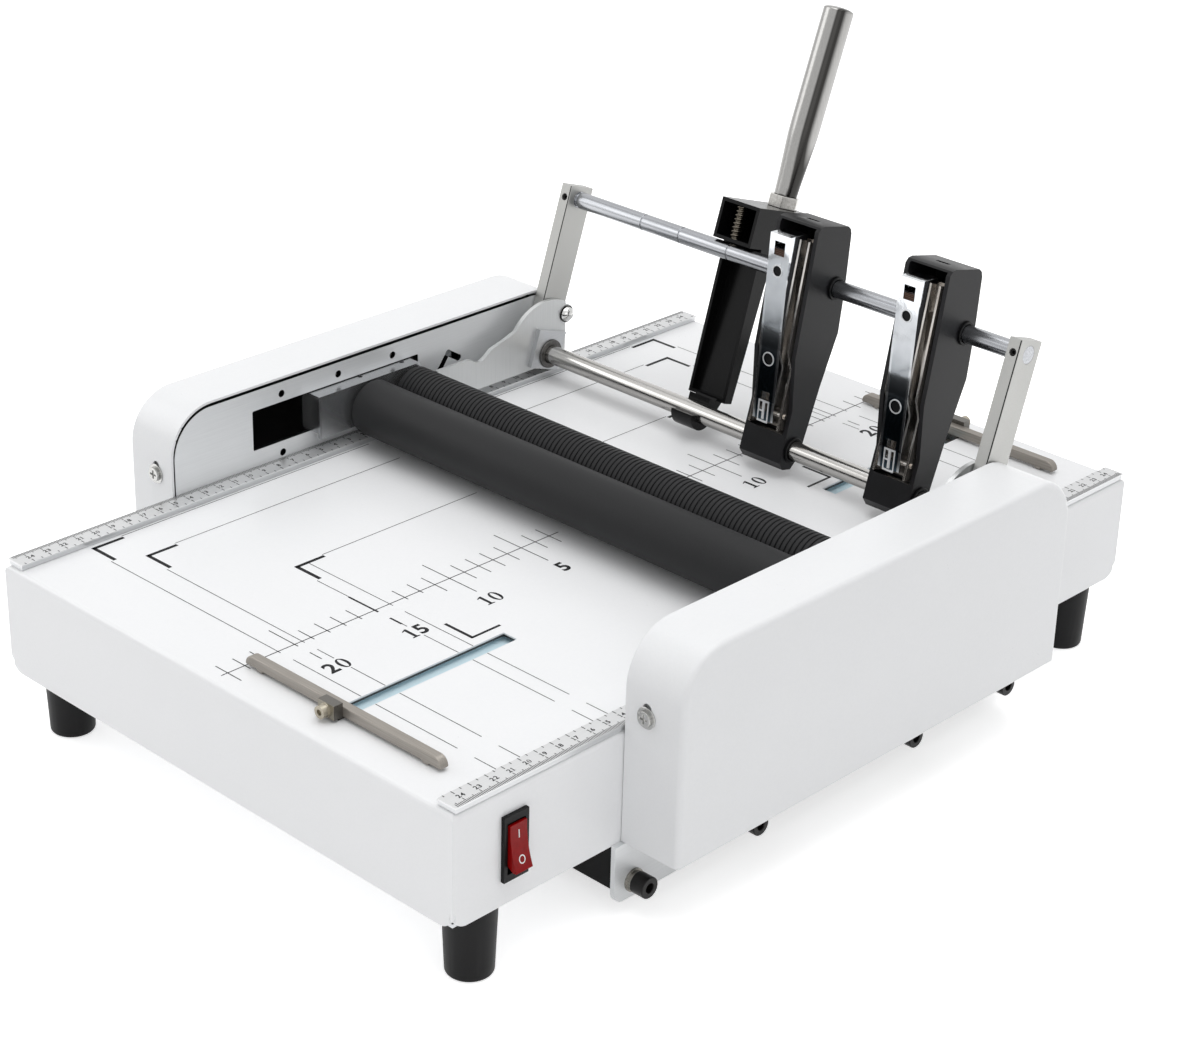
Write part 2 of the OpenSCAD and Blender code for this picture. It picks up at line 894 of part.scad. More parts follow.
module cover_plan(x0, out, half, edge) {
    difference() {
        area(x0, out, -half, half);
        for (s = [0, 1]) {
            mirror([0, s]) translate([out - edge, half - edge]) corner_cut(edge);
        }
    }
}

module cover_slot() {
    translate([screw_x, cover_half + over, cover_slot_z + cover_slot_w / 2]) rotate([quarter_turn, 0, 0])
        linear_extrude(cover_t + 2 * over) slot_area(cover_slot_w, cover_slot_h);
}

module cover_screws() {
    color(chrome) both_sides() both_ends() difference() {
        union() {
            screw_y(screw_head_d, screw_head_h, cover_half + screw_head_h);
            screw_y(hole_d - 2 * slip, screw_shank, cover_half);
        }
        translate([screw_x, cover_half + screw_head_h - cross_d, cover_screw_z]) cross_recess();
    }
}

module cross_recess() {
    block(-cross_l / 2, cross_l / 2, 0, cross_d + over, -cross_w / 2, cross_w / 2);
    block(-cross_w / 2, cross_w / 2, 0, cross_d + over, -cross_l / 2, cross_l / 2);
}

module under_tray() {
    color(black) difference() {
        block(-side_x, side_x, -tray_half, tray_half, tray_z, plinth_z);
        block(-side_x + tray_t, side_x - tray_t, -tray_half + tray_t, tray_half - tray_t,
            tray_z + tray_t, plinth_z + over);
        both_sides() leg_points() rod_x(side_x - tray_t - over, side_x + over, leg_screw_d + 2 * slip, 0, 0);
    }
}

module leg_points() {
    for (y = [-leg_screw_outer, -leg_screw_inner, leg_screw_inner, leg_screw_outer]) {
        translate([0, y, leg_screw_z]) children();
    }
}

module leg_screws() {
    head_x = plate_out + washer_t + spring_t;
    color(black) both_sides() leg_points() difference() {
        union() {
            rod_x(head_x, head_x + leg_head_h, leg_head_d, 0, 0);
            rod_x(side_x - leg_shank, head_x, leg_screw_d, 0, 0);
        }
        rod_x(head_x + leg_head_h / 2, head_x + leg_head_h + over, leg_socket_d, 0, 0);
    }
}

module leg_washers() {
    color(chrome) both_sides() leg_points() {
        difference() {
            union() {
                rod_x(plate_out, plate_out + washer_t, washer_d, 0, 0);
                rod_x(plate_out + washer_t, plate_out + washer_t + spring_t, spring_d, 0, 0);
            }
            rod_x(plate_out - over, plate_out + washer_t + spring_t + over, leg_screw_d + 2 * slip, 0, 0);
        }
    }
}

// Cheek plates and pivots

stop_point_y = pivot_y + stop_n * cos(lean) + stop_u * sin(lean);
stop_point_z = pivot_z - stop_n * sin(lean) + stop_u * cos(lean);

module left_cheek_plate() {
    mirror([1, 0, 0]) cheek_plate();
}

module right_cheek_plate() {
    cheek_plate();
}

module cheek_plate() {
    color(light) difference() {
        union() {
            plate_x(cheek_in, cheek_t) cheek_outline();
            plate_x(cheek_in, cheek_t) cheek_lobe();
            in_arm() rod_x(cheek_in, cheek_out, 2 * bolt_ear_r, dome_n, stop_u);
        }
        rod_x(cheek_in - over, cheek_out + over, bushing_d + 2 * slip, pivot_y, pivot_z);
        rod_x(cheek_in - over, cheek_out + over, stud_d + 2 * slip, spacer_front_y, deck_z + spacer_front_z);
        rod_x(cheek_in - over, cheek_out + over, spacer_bolt_d + 2 * slip, pivot_y + spacer_rear_y,
            pivot_z + spacer_rear_z);
        in_arm() rod_x(cheek_in - over, cheek_out + over, stud_d + 2 * slip, dome_n, stop_u);
    }
}

module cheek_outline() {
    rise = deck_z - pivot_z;
    last = cheek_top_path[len(cheek_top_path) - 1];
    translate([pivot_y, pivot_z])
        polygon(concat([for (p = cheek_top_path) [p[0], p[1] + rise]],
            [[cheek_far, last[1] + rise], [cheek_far, cheek_low + rise], [cheek_near, cheek_low + rise]]));
}

module cheek_lobe() {
    translate([pivot_y, pivot_z]) intersection() {
        circle(lobe_r);
        area(-lobe_r, cheek_far, cheek_low + deck_z - pivot_z, lobe_r);
    }
}

module pivot_blocks() {
    color(steel) both_sides() difference() {
        in_arm() block(block_in, cheek_in, block_near, block_rear, block_low, block_top);
        rod_x(block_in - over, cheek_in + over, bushing_d + 2 * slip, pivot_y, pivot_z);
    }
}

module pivot_bushings() {
    color(white) both_sides() difference() {
        rod_x(block_in - bushing_proud, cheek_out, bushing_d, pivot_y, pivot_z);
        rod_x(block_in - bushing_proud - over, cheek_out + over, lower_d + 2 * slip, pivot_y, pivot_z);
    }
}

module arm_stop_bolts() {
    color(chrome) both_sides() {
        rod_x(arm_in, side_x, stop_d, stop_point_y, stop_point_z);
        rod_x(side_x, plate_out + over, stud_d, stop_point_y, stop_point_z);
        spacer(spacer_front_d, stud_d, spacer_front_y, deck_z + spacer_front_z);
        spacer(spacer_rear_d, spacer_bolt_d, pivot_y + spacer_rear_y, pivot_z + spacer_rear_z);
        in_arm() dome_bolt();
    }
}

module spacer(d, bolt_d, y, z) {
    rod_x(cheek_out, side_x, d, y, z);
    rod_x(side_x, plate_out, bolt_d, y, z);
    rod_x(cheek_in, cheek_out, bolt_d, y, z);
    rod_x(cheek_in - over, cheek_in, d, y, z);
}

module dome_bolt() {
    rod_x(cheek_in, cheek_out, stud_d, dome_n, stop_u);
    rod_x(cheek_in - dome_washer_t, cheek_in, dome_d + over, dome_n, stop_u);
    translate([cheek_in - dome_washer_t, dome_n, stop_u]) rotate([0, -quarter_turn, 0])
        rotate_extrude() dome_outline(dome_d / 2, dome_h);
}

module dome_outline(r, h) {
    ball = (r * r + h * h) / (2 * h);
    intersection() {
        area(0, r, 0, h);
        translate([0, h - ball]) circle(ball);
    }
}

// Blade under the fold line

module blade_posts() {
    color(steel) both_sides() translate([post_x, post_y, pan_top]) {
        cylinder(h = deck_low - pan_top, d = post_d);
        cylinder(h = post_foot_h, d = post_foot_d);
    }
}

module blade_solenoid() {
    color(black) difference() {
        block(-coil_w / 2, coil_w / 2, -coil_l / 2, coil_l / 2, pan_top, coil_top);
        translate([0, 0, pan_top + coil_floor]) cylinder(h = coil_h + over, d = plunger_d + 2 * slip);
    }
}

module fold_blade() {
    color(steel) block(-blade_x, blade_x, -blade_t / 2, blade_t / 2, blade_low, blade_top);
}

module blade_slides() {
    color(white) both_sides() difference() {
        block(post_x - slide_w / 2, post_x + slide_w / 2, blade_t / 2, blade_t / 2 + slide_l,
            blade_low, blade_low + slide_h);
        translate([post_x, post_y, blade_low - over])
            cylinder(h = slide_h + 2 * over, d = post_d + 2 * slip);
    }
}

module blade_plunger() {
    color(steel) {
        translate([0, 0, plunger_low]) cylinder(h = fork_low - plunger_low, d = plunger_d);
        difference() {
            block(-fork_w / 2, fork_w / 2, -fork_l / 2, fork_l / 2, fork_low, blade_low + fork_rise);
            block(-fork_w, fork_w, -blade_t / 2 - slip, blade_t / 2 + slip, blade_low, blade_top);
        }
    }
}

// Electrics

module control_board() {
    color(green) {
        translate([board_x, board_y, pan_top]) four_corners(board_w / 2 - standoff_inset,
            board_l / 2 - standoff_inset) cylinder(h = board_lift, d = standoff_d);
        translate([board_x, board_y, pan_top + board_lift]) {
            block(-board_w / 2, board_w / 2, -board_l / 2, board_l / 2, 0, board_t);
            block(-board_w / 4, -board_w / 4 + chip_w, -chip_w / 2, chip_w / 2, 0, board_t + chip_h);
            block(relay_w / 2, relay_w * 1.5, -relay_w / 2, relay_w / 2, 0, board_t + relay_h);
            translate([board_w / 2 - cap_d, 0, 0]) cylinder(h = board_t + cap_l, d = cap_d);
        }
    }
}

module switch_body() {
    color(black) difference() {
        union() {
            block(side_x - switch_body_l, side_x, switch_y - switch_body_w / 2,
                switch_y + switch_body_w / 2, switch_z - switch_body_h / 2, switch_z + switch_body_h / 2);
            block(side_x, side_x + bezel_t, switch_y - bezel_w / 2, switch_y + bezel_w / 2,
                switch_z - bezel_h / 2, switch_z + bezel_h / 2);
        }
        block(side_x - switch_cavity, side_x + bezel_t + over,
            switch_y - rocker_opening_w / 2, switch_y + rocker_opening_w / 2,
            switch_z - rocker_opening_h / 2, switch_z + rocker_opening_h / 2);
        trunnion(trunnion_d + 2 * slip, rocker_opening_w / 2 + trunnion_l);
    }
}

module trunnion(d, half) {
    translate([rocker_axis_x, switch_y + half, switch_z]) rotate([quarter_turn, 0, 0])
        cylinder(h = 2 * half, d = d);
}

module power_rocker() {
    color(red) {
        trunnion(trunnion_d, rocker_opening_w / 2 + trunnion_l - 2 * slip);
        translate([rocker_axis_x, switch_y + rocker_w / 2, switch_z]) rotate([0, -rocker_tilt, 0])
            rotate([quarter_turn, 0, 0]) linear_extrude(rocker_w) difference() {
                polygon([[rocker_front, rocker_half], [rocker_front - rocker_skirt, rocker_half],
                    [rocker_back, rocker_back_h], [rocker_back, -rocker_back_h],
                    [rocker_front - rocker_skirt, -rocker_half], [rocker_front, -rocker_half]]);
                translate([rocker_front - rocker_dish + rocker_dish_r, 0]) circle(rocker_dish_r);
            }
    }
}

module power_inlet() {
    color(black) translate([inlet_x, end_y, inlet_z]) {
        difference() {
            union() {
                block(-inlet_w / 2, inlet_w / 2, -inlet_l, 0, -inlet_h / 2, inlet_h / 2);
                block(-inlet_w / 2 - inlet_rim, inlet_w / 2 + inlet_rim, -sheet_t - inlet_rim_t, -sheet_t,
                    -inlet_h / 2 - inlet_rim, inlet_h / 2 + inlet_rim);
            }
            block(-inlet_w / 2 + inlet_wall, inlet_w / 2 - inlet_wall, -inlet_depth, over,
                -inlet_h / 2 + inlet_wall, inlet_h / 2 - inlet_wall);
        }
        for (i = [-1, 0, 1]) {
            block(i * inlet_pin_pitch - inlet_pin_w / 2, i * inlet_pin_pitch + inlet_pin_w / 2,
                -inlet_depth - over, -inlet_depth + inlet_pin_l, -inlet_pin_h / 2, inlet_pin_h / 2);
        }
    }
}

// Carriage with the rollers

module left_carrier() {
    mirror([1, 0, 0]) carrier();
}

module right_carrier() {
    carrier();
}

module carrier() {
    color(steel) difference() {
        union() {
            block(web_x, web_out, -carrier_near, carrier_far, web_low, channel_high);
            block(web_x, outer_out, -carrier_near, carrier_far, channel_high - carrier_t, channel_high);
            block(web_x, outer_out, -carrier_near, carrier_far, channel_low, channel_low + carrier_t);
            block(outer_x, outer_out, -carrier_near, ear_y, channel_low, channel_high);
            block(web_x, outer_out, -carrier_near, carrier_t - carrier_near, channel_low, channel_high);
            rod_x(outer_x, pin_end, pin_d, ear_pin_y, ear_pin_z);
            rod_x(pin_end, pin_end + pin_head_t, pin_head_d, ear_pin_y, ear_pin_z);
        }
        for (y = [smooth_y, grooved_y]) {
            rod_x(web_x - over, web_out + over, bush_d + 2 * slip, y, axle_z);
            rod_x(outer_x - over, outer_out + over, ear_hole_d, y, axle_z);
        }
        for (y = [smooth_y, grooved_y]) {
            translate([(web_out + outer_x) / 2, y, channel_high - carrier_t - over])
                cylinder(h = carrier_t + 2 * over, d = strip_screw_d);
        }
    }
}

module roller_bushes() {
    color(bronze) both_sides() for (y = [smooth_y, grooved_y]) {
        difference() {
            union() {
                rod_x(web_x - bush_flange_t, web_x, bush_flange_d, y, axle_z);
                rod_x(web_x - bush_flange_t, web_out + bush_tail, bush_d, y, axle_z);
            }
            rod_x(web_x - bush_flange_t - over, web_out + bush_tail + over, shaft_d + 2 * slip, y, axle_z);
        }
    }
}

module roller_motor() {
    color(black) difference() {
        union() {
            rod_x(outer_out, outer_out + motor_flange_l, motor_flange_d, smooth_y, axle_z);
            rod_x(outer_out + motor_flange_l, outer_out + motor_l - motor_rim, motor_d, smooth_y, axle_z);
            rod_x(outer_out + motor_l - motor_rim, outer_out + motor_l, motor_d - 2 * motor_rim, smooth_y,
                axle_z);
        }
        rod_x(outer_out - over, outer_out + motor_bore_l, ear_hole_d, smooth_y, axle_z);
    }
}

module smooth_roller() {
    color(rubber) difference() {
        rod_x(-roller_half, roller_half, 2 * smooth_r, smooth_y, axle_z);
        rod_x(-roller_half - over, roller_half + over, core_d + 2 * slip, smooth_y, axle_z);
    }
}

function groove_edge(x) = [[grooved_r, x - groove_w / 2], [grooved_r - groove_d, x - groove_w / 2],
    [grooved_r - groove_d, x + groove_w / 2], [grooved_r, x + groove_w / 2]];

module grooved_roller() {
    color(rubber) translate([0, grooved_y, axle_z]) rotate([0, quarter_turn, 0]) rotate_extrude()
        polygon(concat([[core_d / 2 + slip, -roller_half], [grooved_r, -roller_half]],
            [for (i = [0 : groove_count - 1]) for (p = groove_edge(groove_start + i * groove_pitch)) p],
            [[grooved_r, roller_half], [core_d / 2 + slip, roller_half]]));
}

module roller_shaft(y, left, right) {
    color(steel) {
        rod_x(-left, right, shaft_d, y, axle_z);
        rod_x(-roller_half, roller_half, core_d, y, axle_z);
    }
}

module smooth_shaft() {
    roller_shaft(smooth_y, shaft_left, shaft_right);
}

module grooved_shaft() {
    roller_shaft(grooved_y, shaft_left, web_out + bush_tail + over);
}

module gear(y, phase) {
    color(beige) plate_x(-gear_end, gear_w) translate([y, axle_z]) rotate(phase) difference() {
        union() {
            circle(gear_root_r);
            for (i = [0 : gear_teeth - 1]) {
                rotate(i * tooth_turn) polygon([[gear_root_r - over, -tooth_root_w / 2],
                    [gear_root_r, -tooth_root_w / 2], [gear_tip_r, -tooth_tip_w / 2],
                    [gear_tip_r, tooth_tip_w / 2], [gear_root_r, tooth_root_w / 2],
                    [gear_root_r - over, tooth_root_w / 2]]);
            }
        }
        circle(d = shaft_d + 2 * slip);
    }
}

module smooth_gear() {
    gear(smooth_y, tooth_turn / 2);
}

module grooved_gear() {
    gear(grooved_y, 0);
}

// Swinging frame

module left_arm() {
    mirror([1, 0, 0]) arm();
}

module right_arm() {
    arm();
}

module arm() {
    half = arm_w / 2;
    color(light) in_arm() difference() {
        plate_x(arm_in, arm_t) {
            area(-half, half, 0, rod_pitch + arm_over);
            circle(half);
        }
        rod_x(arm_in - over, arm_out + over, lower_d + 2 * slip, 0, 0);
        rod_x(arm_in - over, arm_out + over, upper_d + 2 * slip, 0, rod_pitch);
        for (u = [0, rod_pitch]) {
            translate([(arm_in + arm_out) / 2, 0, u]) rotate([quarter_turn, 0, 0])
                cylinder(h = half + over, d = grub_d + 2 * slip);
        }
    }
}

module upper_rod() {
    color(steel) in_arm() translate([0, 0, rod_pitch]) rotate([0, quarter_turn, 0]) difference() {
        translate([0, 0, -arm_out]) cylinder(h = 2 * arm_out, d = upper_d);
        for (s = [0, 1]) {
            mirror([0, 0, s]) translate([0, 0, arm_in - neck_l]) ring_cut(neck_l, (upper_d - neck_d) / 2);
        }
        for (x = ring_marks) {
            translate([0, 0, x - ring_w / 2]) ring_cut(ring_w, ring_d);
        }
    }
}

module ring_cut(w, deep) {
    difference() {
        cylinder(h = w, d = upper_d + over);
        translate([0, 0, -over]) cylinder(h = w + 2 * over, d = upper_d - 2 * deep);
    }
}

module lower_rod() {
    color(chrome) rod_x(-crank_out, crank_out, lower_d, pivot_y, pivot_z);
}

module grub_screws() {
    color(black) both_sides() in_arm() {
        grub(0, lower_d / 2);
        grub(rod_pitch, upper_d / 2);
    }
}

module grub(u, rod_r) {
    l = arm_w / 2 - grub_sink - rod_r - slip;
    translate([(arm_in + arm_out) / 2, -arm_w / 2 + grub_sink, u]) rotate([-quarter_turn, 0, 0])
        difference() {
            cylinder(h = l, d = grub_d);
            translate([0, 0, -over]) cylinder(h = over + l / 2, d = grub_socket_d);
        }
}

module rod_cranks() {
    color(steel) both_sides() {
        difference() {
            plate_x(crank_x, crank_t) translate([pivot_y, pivot_z]) rotate(crank_start) {
                circle(crank_hub_r);
                area(0, crank_r, -crank_eye_r, crank_eye_r);
                translate([crank_r, 0]) circle(crank_eye_r);
            }
            rod_x(crank_x - over, crank_out + over, lower_d + 2 * slip, pivot_y, pivot_z);
        }
        rod_x(crank_x, pin_end, pin_d, pin_y, pin_z);
        rod_x(pin_end, pin_end + pin_head_t, pin_head_d, pin_y, pin_z);
    }
}

module left_link() {
    mirror([1, 0, 0]) drive_link();
}

module right_link() {
    drive_link();
}

module drive_link() {
    color(steel) plate_x(link_x, link_t) difference() {
        union() {
            translate([pin_y, pin_z]) circle(crank_eye_r);
            area(link_slot_near, pin_y, pin_z - crank_eye_r, pin_z + crank_eye_r);
            area(link_slot_near - link_frame, link_slot_far + link_frame, link_slot_low - link_frame,
                link_slot_high + link_frame);
        }
        translate([pin_y, pin_z]) circle(d = pin_d + 2 * slip);
        area(link_slot_near, link_slot_far, link_slot_low, link_slot_high);
    }
}

// Handle

module handle_bracket() {
    wall = bracket_t;
    color(black) in_arm() difference() {
        union() {
            block(-bracket_x, -bracket_far, box_n, box_n + box_depth, box_u, box_top);
            plate_x(-bracket_x, bracket_w) polygon([[spine_top_n, box_u + over], [spine_low_n, spine_low_u],
                [spine_low_rear, spine_low_u], [spine_top_rear, box_u + over]]);
            plate_x(bracket_mid - tongue_w / 2, tongue_w) hook_outline();
        }
        block(-bracket_x + wall, -bracket_far - wall, box_n - over, box_n + box_depth - wall,
            box_u + wall, box_top - wall);
        plate_x(-bracket_x + wall, bracket_w - 2 * wall) polygon([
            [spine_top_n - over, box_u - wall], [spine_low_n - over, spine_low_u + wall],
            [spine_low_rear - wall, spine_low_u + wall], [spine_top_rear - wall, box_u - wall]]);
        translate([clamp_x, 0, box_u - over]) cylinder(h = wall + 2 * over, d = clamp_ring_d + 2 * slip);
        translate([bracket_mid, handle_n, box_top - wall - over]) cylinder(h = wall + 2 * over,
            d = clamp_d + 2 * slip);
    }
}

module hook_outline() {
    difference() {
        circle(hook_r);
        circle(d = lower_d + 2 * slip);
        area(-hook_r - over, hook_cut_n, hook_cut_u, hook_r + over);
    }
    polygon([[tongue_n, tongue_u], [spine_low_n, spine_low_u + over], [spine_low_rear, spine_low_u + over],
        [hook_r, hook_cut_u], [tongue_n, -hook_cut_u]]);
}

module clamp_screw() {
    color(bronze) in_arm() translate([clamp_x, 0, 0]) {
        translate([0, 0, clamp_low]) cylinder(h = clamp_tip_l, d1 = clamp_tip_d, d2 = clamp_ring_d);
        translate([0, 0, clamp_low]) cylinder(h = box_top - bracket_t - clamp_low, d = clamp_d);
        for (i = [1 : clamp_rings]) {
            translate([0, 0, clamp_low + clamp_tip_l + (i - 0.5) * clamp_ring_pitch - clamp_ring_t])
                cylinder(h = clamp_ring_t, d = clamp_ring_d);
        }
    }
}

module handle_nut() {
    color(steel) in_arm() translate([bracket_mid, handle_n, 0]) {
        translate([0, 0, box_top]) linear_extrude(nut_h) nut_outline();
        translate([0, 0, box_top - bracket_t - over]) cylinder(h = bracket_t + over, d = clamp_d);
    }
}

module nut_outline() {
    intersection_for(i = [0 : nut_sides / 2 - 1]) {
        rotate(i * half_turn * 2 / nut_sides) area(-nut_af, nut_af, -nut_af / 2, nut_af / 2);
    }
}

module handle_tube() {
    color(chrome) in_arm() difference() {
        translate([bracket_mid, handle_n, nut_top]) rotate([-handle_lean, 0, 0]) rotate_extrude() {
            polygon([[0, -over], [handle_neck_d / 2, -over], [handle_neck_d / 2, 0], [handle_d / 2, taper_l],
                [handle_d / 2, handle_l - cap_h], [0, handle_l - cap_h]]);
            translate([0, handle_l - cap_h]) dome_outline(handle_d / 2, cap_h);
        }
        block(-bracket_x - nut_af, -bracket_far + nut_af, handle_n - nut_af, handle_n + nut_af,
            nut_top - nut_h, nut_top);
    }
}

// Staplers

function rear_n(u) = rear_low_n + (rear_top_n - rear_low_n) * (u - rear_low) / (rear_top - rear_low);

module left_stapler_housing() {
    stapler_housing(stapler_left_x);
}

module right_stapler_housing() {
    stapler_housing(stapler_right_x);
}

module stapler_housing(x) {
    color(black) in_arm() {
        difference() {
            plate_x(x - housing_w / 2, housing_w) polygon(housing_outline);
            plate_x(x - housing_w / 2 + housing_t, housing_w - 2 * housing_t) polygon(cavity_outline);
            rod_x(x - housing_w, x + housing_w, lower_d + 2 * slip, 0, 0);
            rod_x(x - housing_w, x + housing_w, upper_d + 2 * slip, 0, rod_pitch);
            block(x - top_slot_l / 2, x + top_slot_l / 2, top_slot_n - top_slot_w / 2,
                top_slot_n + top_slot_w / 2, top_slot_u, top_slot_u + top_slot_h);
        }
        plate_x(x - boss_half, 2 * boss_half) {
            polygon([[rear_n(boss_low), boss_low], [rear_n(boss_mid), boss_mid], [boss_low_n, boss_mid],
                [boss_low_n, boss_low]]);
            polygon([[rear_n(boss_high), boss_high], [rear_n(boss_top), boss_top], [boss_high_n, boss_top],
                [boss_high_n, boss_high]]);
        }
    }
}

module left_stapler_arm() {
    stapler_arm(stapler_left_x);
}

module right_stapler_arm() {
    stapler_arm(stapler_right_x);
}

module stapler_arm(x) {
    inner = rear_w - 2 * channel_t;
    color(chrome) in_arm() {
        difference() {
            plate_x(x - rear_w / 2, rear_w) polygon(concat([[rear_low_n, rear_low], [rear_top_n, rear_top]],
                flange_path));
            plate_x(x - inner / 2, inner) polygon([[rear_low_n - channel_t, rear_low - over],
                [rear_top_n - channel_t, rear_top + over], [flange_path[0][0] - over, rear_top + over],
                [flange_path[0][0] - over, rear_low - over]]);
        }
        rod_x(x - rear_w / 2 - rivet_cap, x + rear_w / 2 + rivet_cap, rivet_d, tilt_n, tilt_u);
    }
}

module left_magazine() {
    magazine(stapler_left_x);
}

module right_magazine() {
    magazine(stapler_right_x);
}

module magazine(x) {
    half = magazine_w / 2;
    inner = half - channel_t;
    color(chrome) in_magazine() translate([x, 0, 0]) difference() {
        union() {
            block(-half, half, mag_front, mag_rear, mag_low, mag_top);
            block(-half, half, mag_front, nose_rear, nose_low, mag_top);
        }
        block(-inner, inner, mag_front + channel_t, mag_rear + over, mag_low - over, nose_low);
        rod_x(-half - over, half + over, rivet_d + 2 * slip, 0, 0);
        front_hole(nose_window, nose_window_v, nose_window_h, nose_window_d);
        front_hole(tab_window_w, tab_window_v, tab_window_h, channel_t + over);
        front_eye(eye_d, eye_v);
        front_eye(screw_eye_d, screw_eye_v);
        block(-nose_slit_l / 2, nose_slit_l / 2, nose_slit_m, nose_slit_m + nose_slit_w,
            mag_top - nose_slit_d, mag_top + over);
    }
}

module front_hole(w, v, h, deep) {
    block(-w / 2, w / 2, mag_front - over, mag_front + deep, v, v + h);
}

module front_eye(d, v) {
    translate([0, mag_front + channel_t + over, v]) rotate([quarter_turn, 0, 0])
        cylinder(h = channel_t + 2 * over, d = d);
}

// Stops

module near_stop_bar() {
    stop_bar();
}

module far_stop_bar() {
    mirror([0, 1, 0]) stop_bar();
}

module stop_bar() {
    color(beige) translate([bar_x, bar_t / 2 - stop_y, stop_z]) rotate([quarter_turn, 0, 0])
        linear_extrude(bar_t) {
            top_rounded(bar_l / 2, 0, bar_h, bar_r);
            for (s = [-1, 1]) {
                translate([s * (bar_l / 2 - bar_foot_in), 0])
                    area(-bar_foot_l / 2, bar_foot_l / 2, -bar_foot_h, over);
            }
        }
}

module near_stop_clamp() {
    stop_clamp();
}

module far_stop_clamp() {
    mirror([0, 1, 0]) stop_clamp();
}

module stop_clamp() {
    x = slot_x;
    screw_z = stop_z + clamp_h / 2;
    color(black) {
        block(x - clamp_w / 2, x + clamp_w / 2, -bar_far - clamp_l, -bar_far, stop_z, stop_z + clamp_h);
        block(x - stem_w / 2, x + stem_w / 2, -stem_far, -stem_near, rail_foot_z, stop_z);
        block(x - rail_foot_w / 2, x + rail_foot_w / 2, -stop_y - rail_foot_l / 2 - over,
            -stop_y + rail_foot_l / 2 - over, rail_foot_z, rail_foot_z + rail_foot_t);
        difference() {
            union() {
                thumb(x, screw_z, bar_far + clamp_l, thumb_washer_t, thumb_washer_d);
                thumb(x, screw_z, bar_far + clamp_l + thumb_washer_t, thumb_l, thumb_d);
            }
            thumb(x, screw_z, bar_far + clamp_l + thumb_l / 2 + thumb_washer_t, thumb_l, thumb_socket_d);
        }
    }
}

module thumb(x, z, y, l, d) {
    translate([x, -y, z]) rotate([quarter_turn, 0, 0]) cylinder(h = l, d = d);
}

table_top();
base_pan();
rubber_feet();
side_rules();
rule_beds();
slot_channels();
left_side_plate();
right_side_plate();
left_cover();
right_cover();
cover_screws();
under_tray();
leg_screws();
leg_washers();
left_cheek_plate();
right_cheek_plate();
pivot_blocks();
pivot_bushings();
arm_stop_bolts();
blade_posts();
blade_solenoid();
control_board();
switch_body();
power_inlet();
left_carrier();
right_carrier();
roller_bushes();
roller_motor();
smooth_roller();
smooth_shaft();
smooth_gear();
grooved_roller();
grooved_shaft();
grooved_gear();
fold_blade();
blade_slides();
blade_plunger();
left_arm();
right_arm();
upper_rod();
lower_rod();
grub_screws();
rod_cranks();
left_link();
right_link();
handle_bracket();
clamp_screw();
handle_nut();
handle_tube();
left_stapler_housing();
left_stapler_arm();
left_magazine();
right_stapler_housing();
right_stapler_arm();
right_magazine();
near_stop_bar();
near_stop_clamp();
far_stop_bar();
far_stop_clamp();
power_rocker();
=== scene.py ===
"""Looks of a tabletop booklet maker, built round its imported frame.

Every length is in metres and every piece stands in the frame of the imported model: +X to the right
cover, +Y to the far end, +Z up. Plain nodes keep their solids and get a finish, and the others are
replaced by softened or worked-out surfaces that ride on the same bodies.
"""

from __future__ import annotations

import json
import logging
import math
from collections.abc import Callable
from dataclasses import dataclass, field, replace
from enum import Enum
from functools import cache

import bmesh
import bpy
import numpy as np
from mathutils import Matrix, Vector


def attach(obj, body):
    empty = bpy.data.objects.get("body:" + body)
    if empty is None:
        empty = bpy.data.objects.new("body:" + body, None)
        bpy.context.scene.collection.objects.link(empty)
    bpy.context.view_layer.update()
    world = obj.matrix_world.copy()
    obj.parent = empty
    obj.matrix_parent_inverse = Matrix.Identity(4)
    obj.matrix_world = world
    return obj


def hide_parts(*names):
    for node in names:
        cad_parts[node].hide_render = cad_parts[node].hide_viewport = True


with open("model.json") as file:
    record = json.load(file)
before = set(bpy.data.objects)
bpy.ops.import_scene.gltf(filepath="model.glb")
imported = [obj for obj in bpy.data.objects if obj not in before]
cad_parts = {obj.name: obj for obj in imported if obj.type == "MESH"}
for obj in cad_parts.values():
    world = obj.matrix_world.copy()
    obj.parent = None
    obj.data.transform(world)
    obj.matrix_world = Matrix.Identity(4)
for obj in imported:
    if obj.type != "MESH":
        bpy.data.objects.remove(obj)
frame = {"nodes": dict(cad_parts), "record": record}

LOG = logging.getLogger("booklet_maker")
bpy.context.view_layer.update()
RECORD = frame["record"]
BODY_OF = {node: body for body, nodes in RECORD["behaviour"]["bodies"].items() for node in nodes}
# The arms swing about the lower rod's axis, which passes through this place, and lean back at rest.
PIVOT = np.array([0.0, 0.1188, 0.1118])
LEAN = math.radians(18.1)
DECK = 0.0965
MICRON = 1e-6
SIDES = ("left", "right")
ACROSS = np.array([1.0, 0.0, 0.0])


class Grain(Enum):
    """Which way a finish's fine marks run: their scale along each axis."""

    EVEN = (1.0, 1.0, 1.0)
    ALONG_X = (0.02, 1.0, 1.0)
    ALONG_Y = (1.0, 0.02, 1.0)
    ALONG_Z = (1.0, 1.0, 0.02)


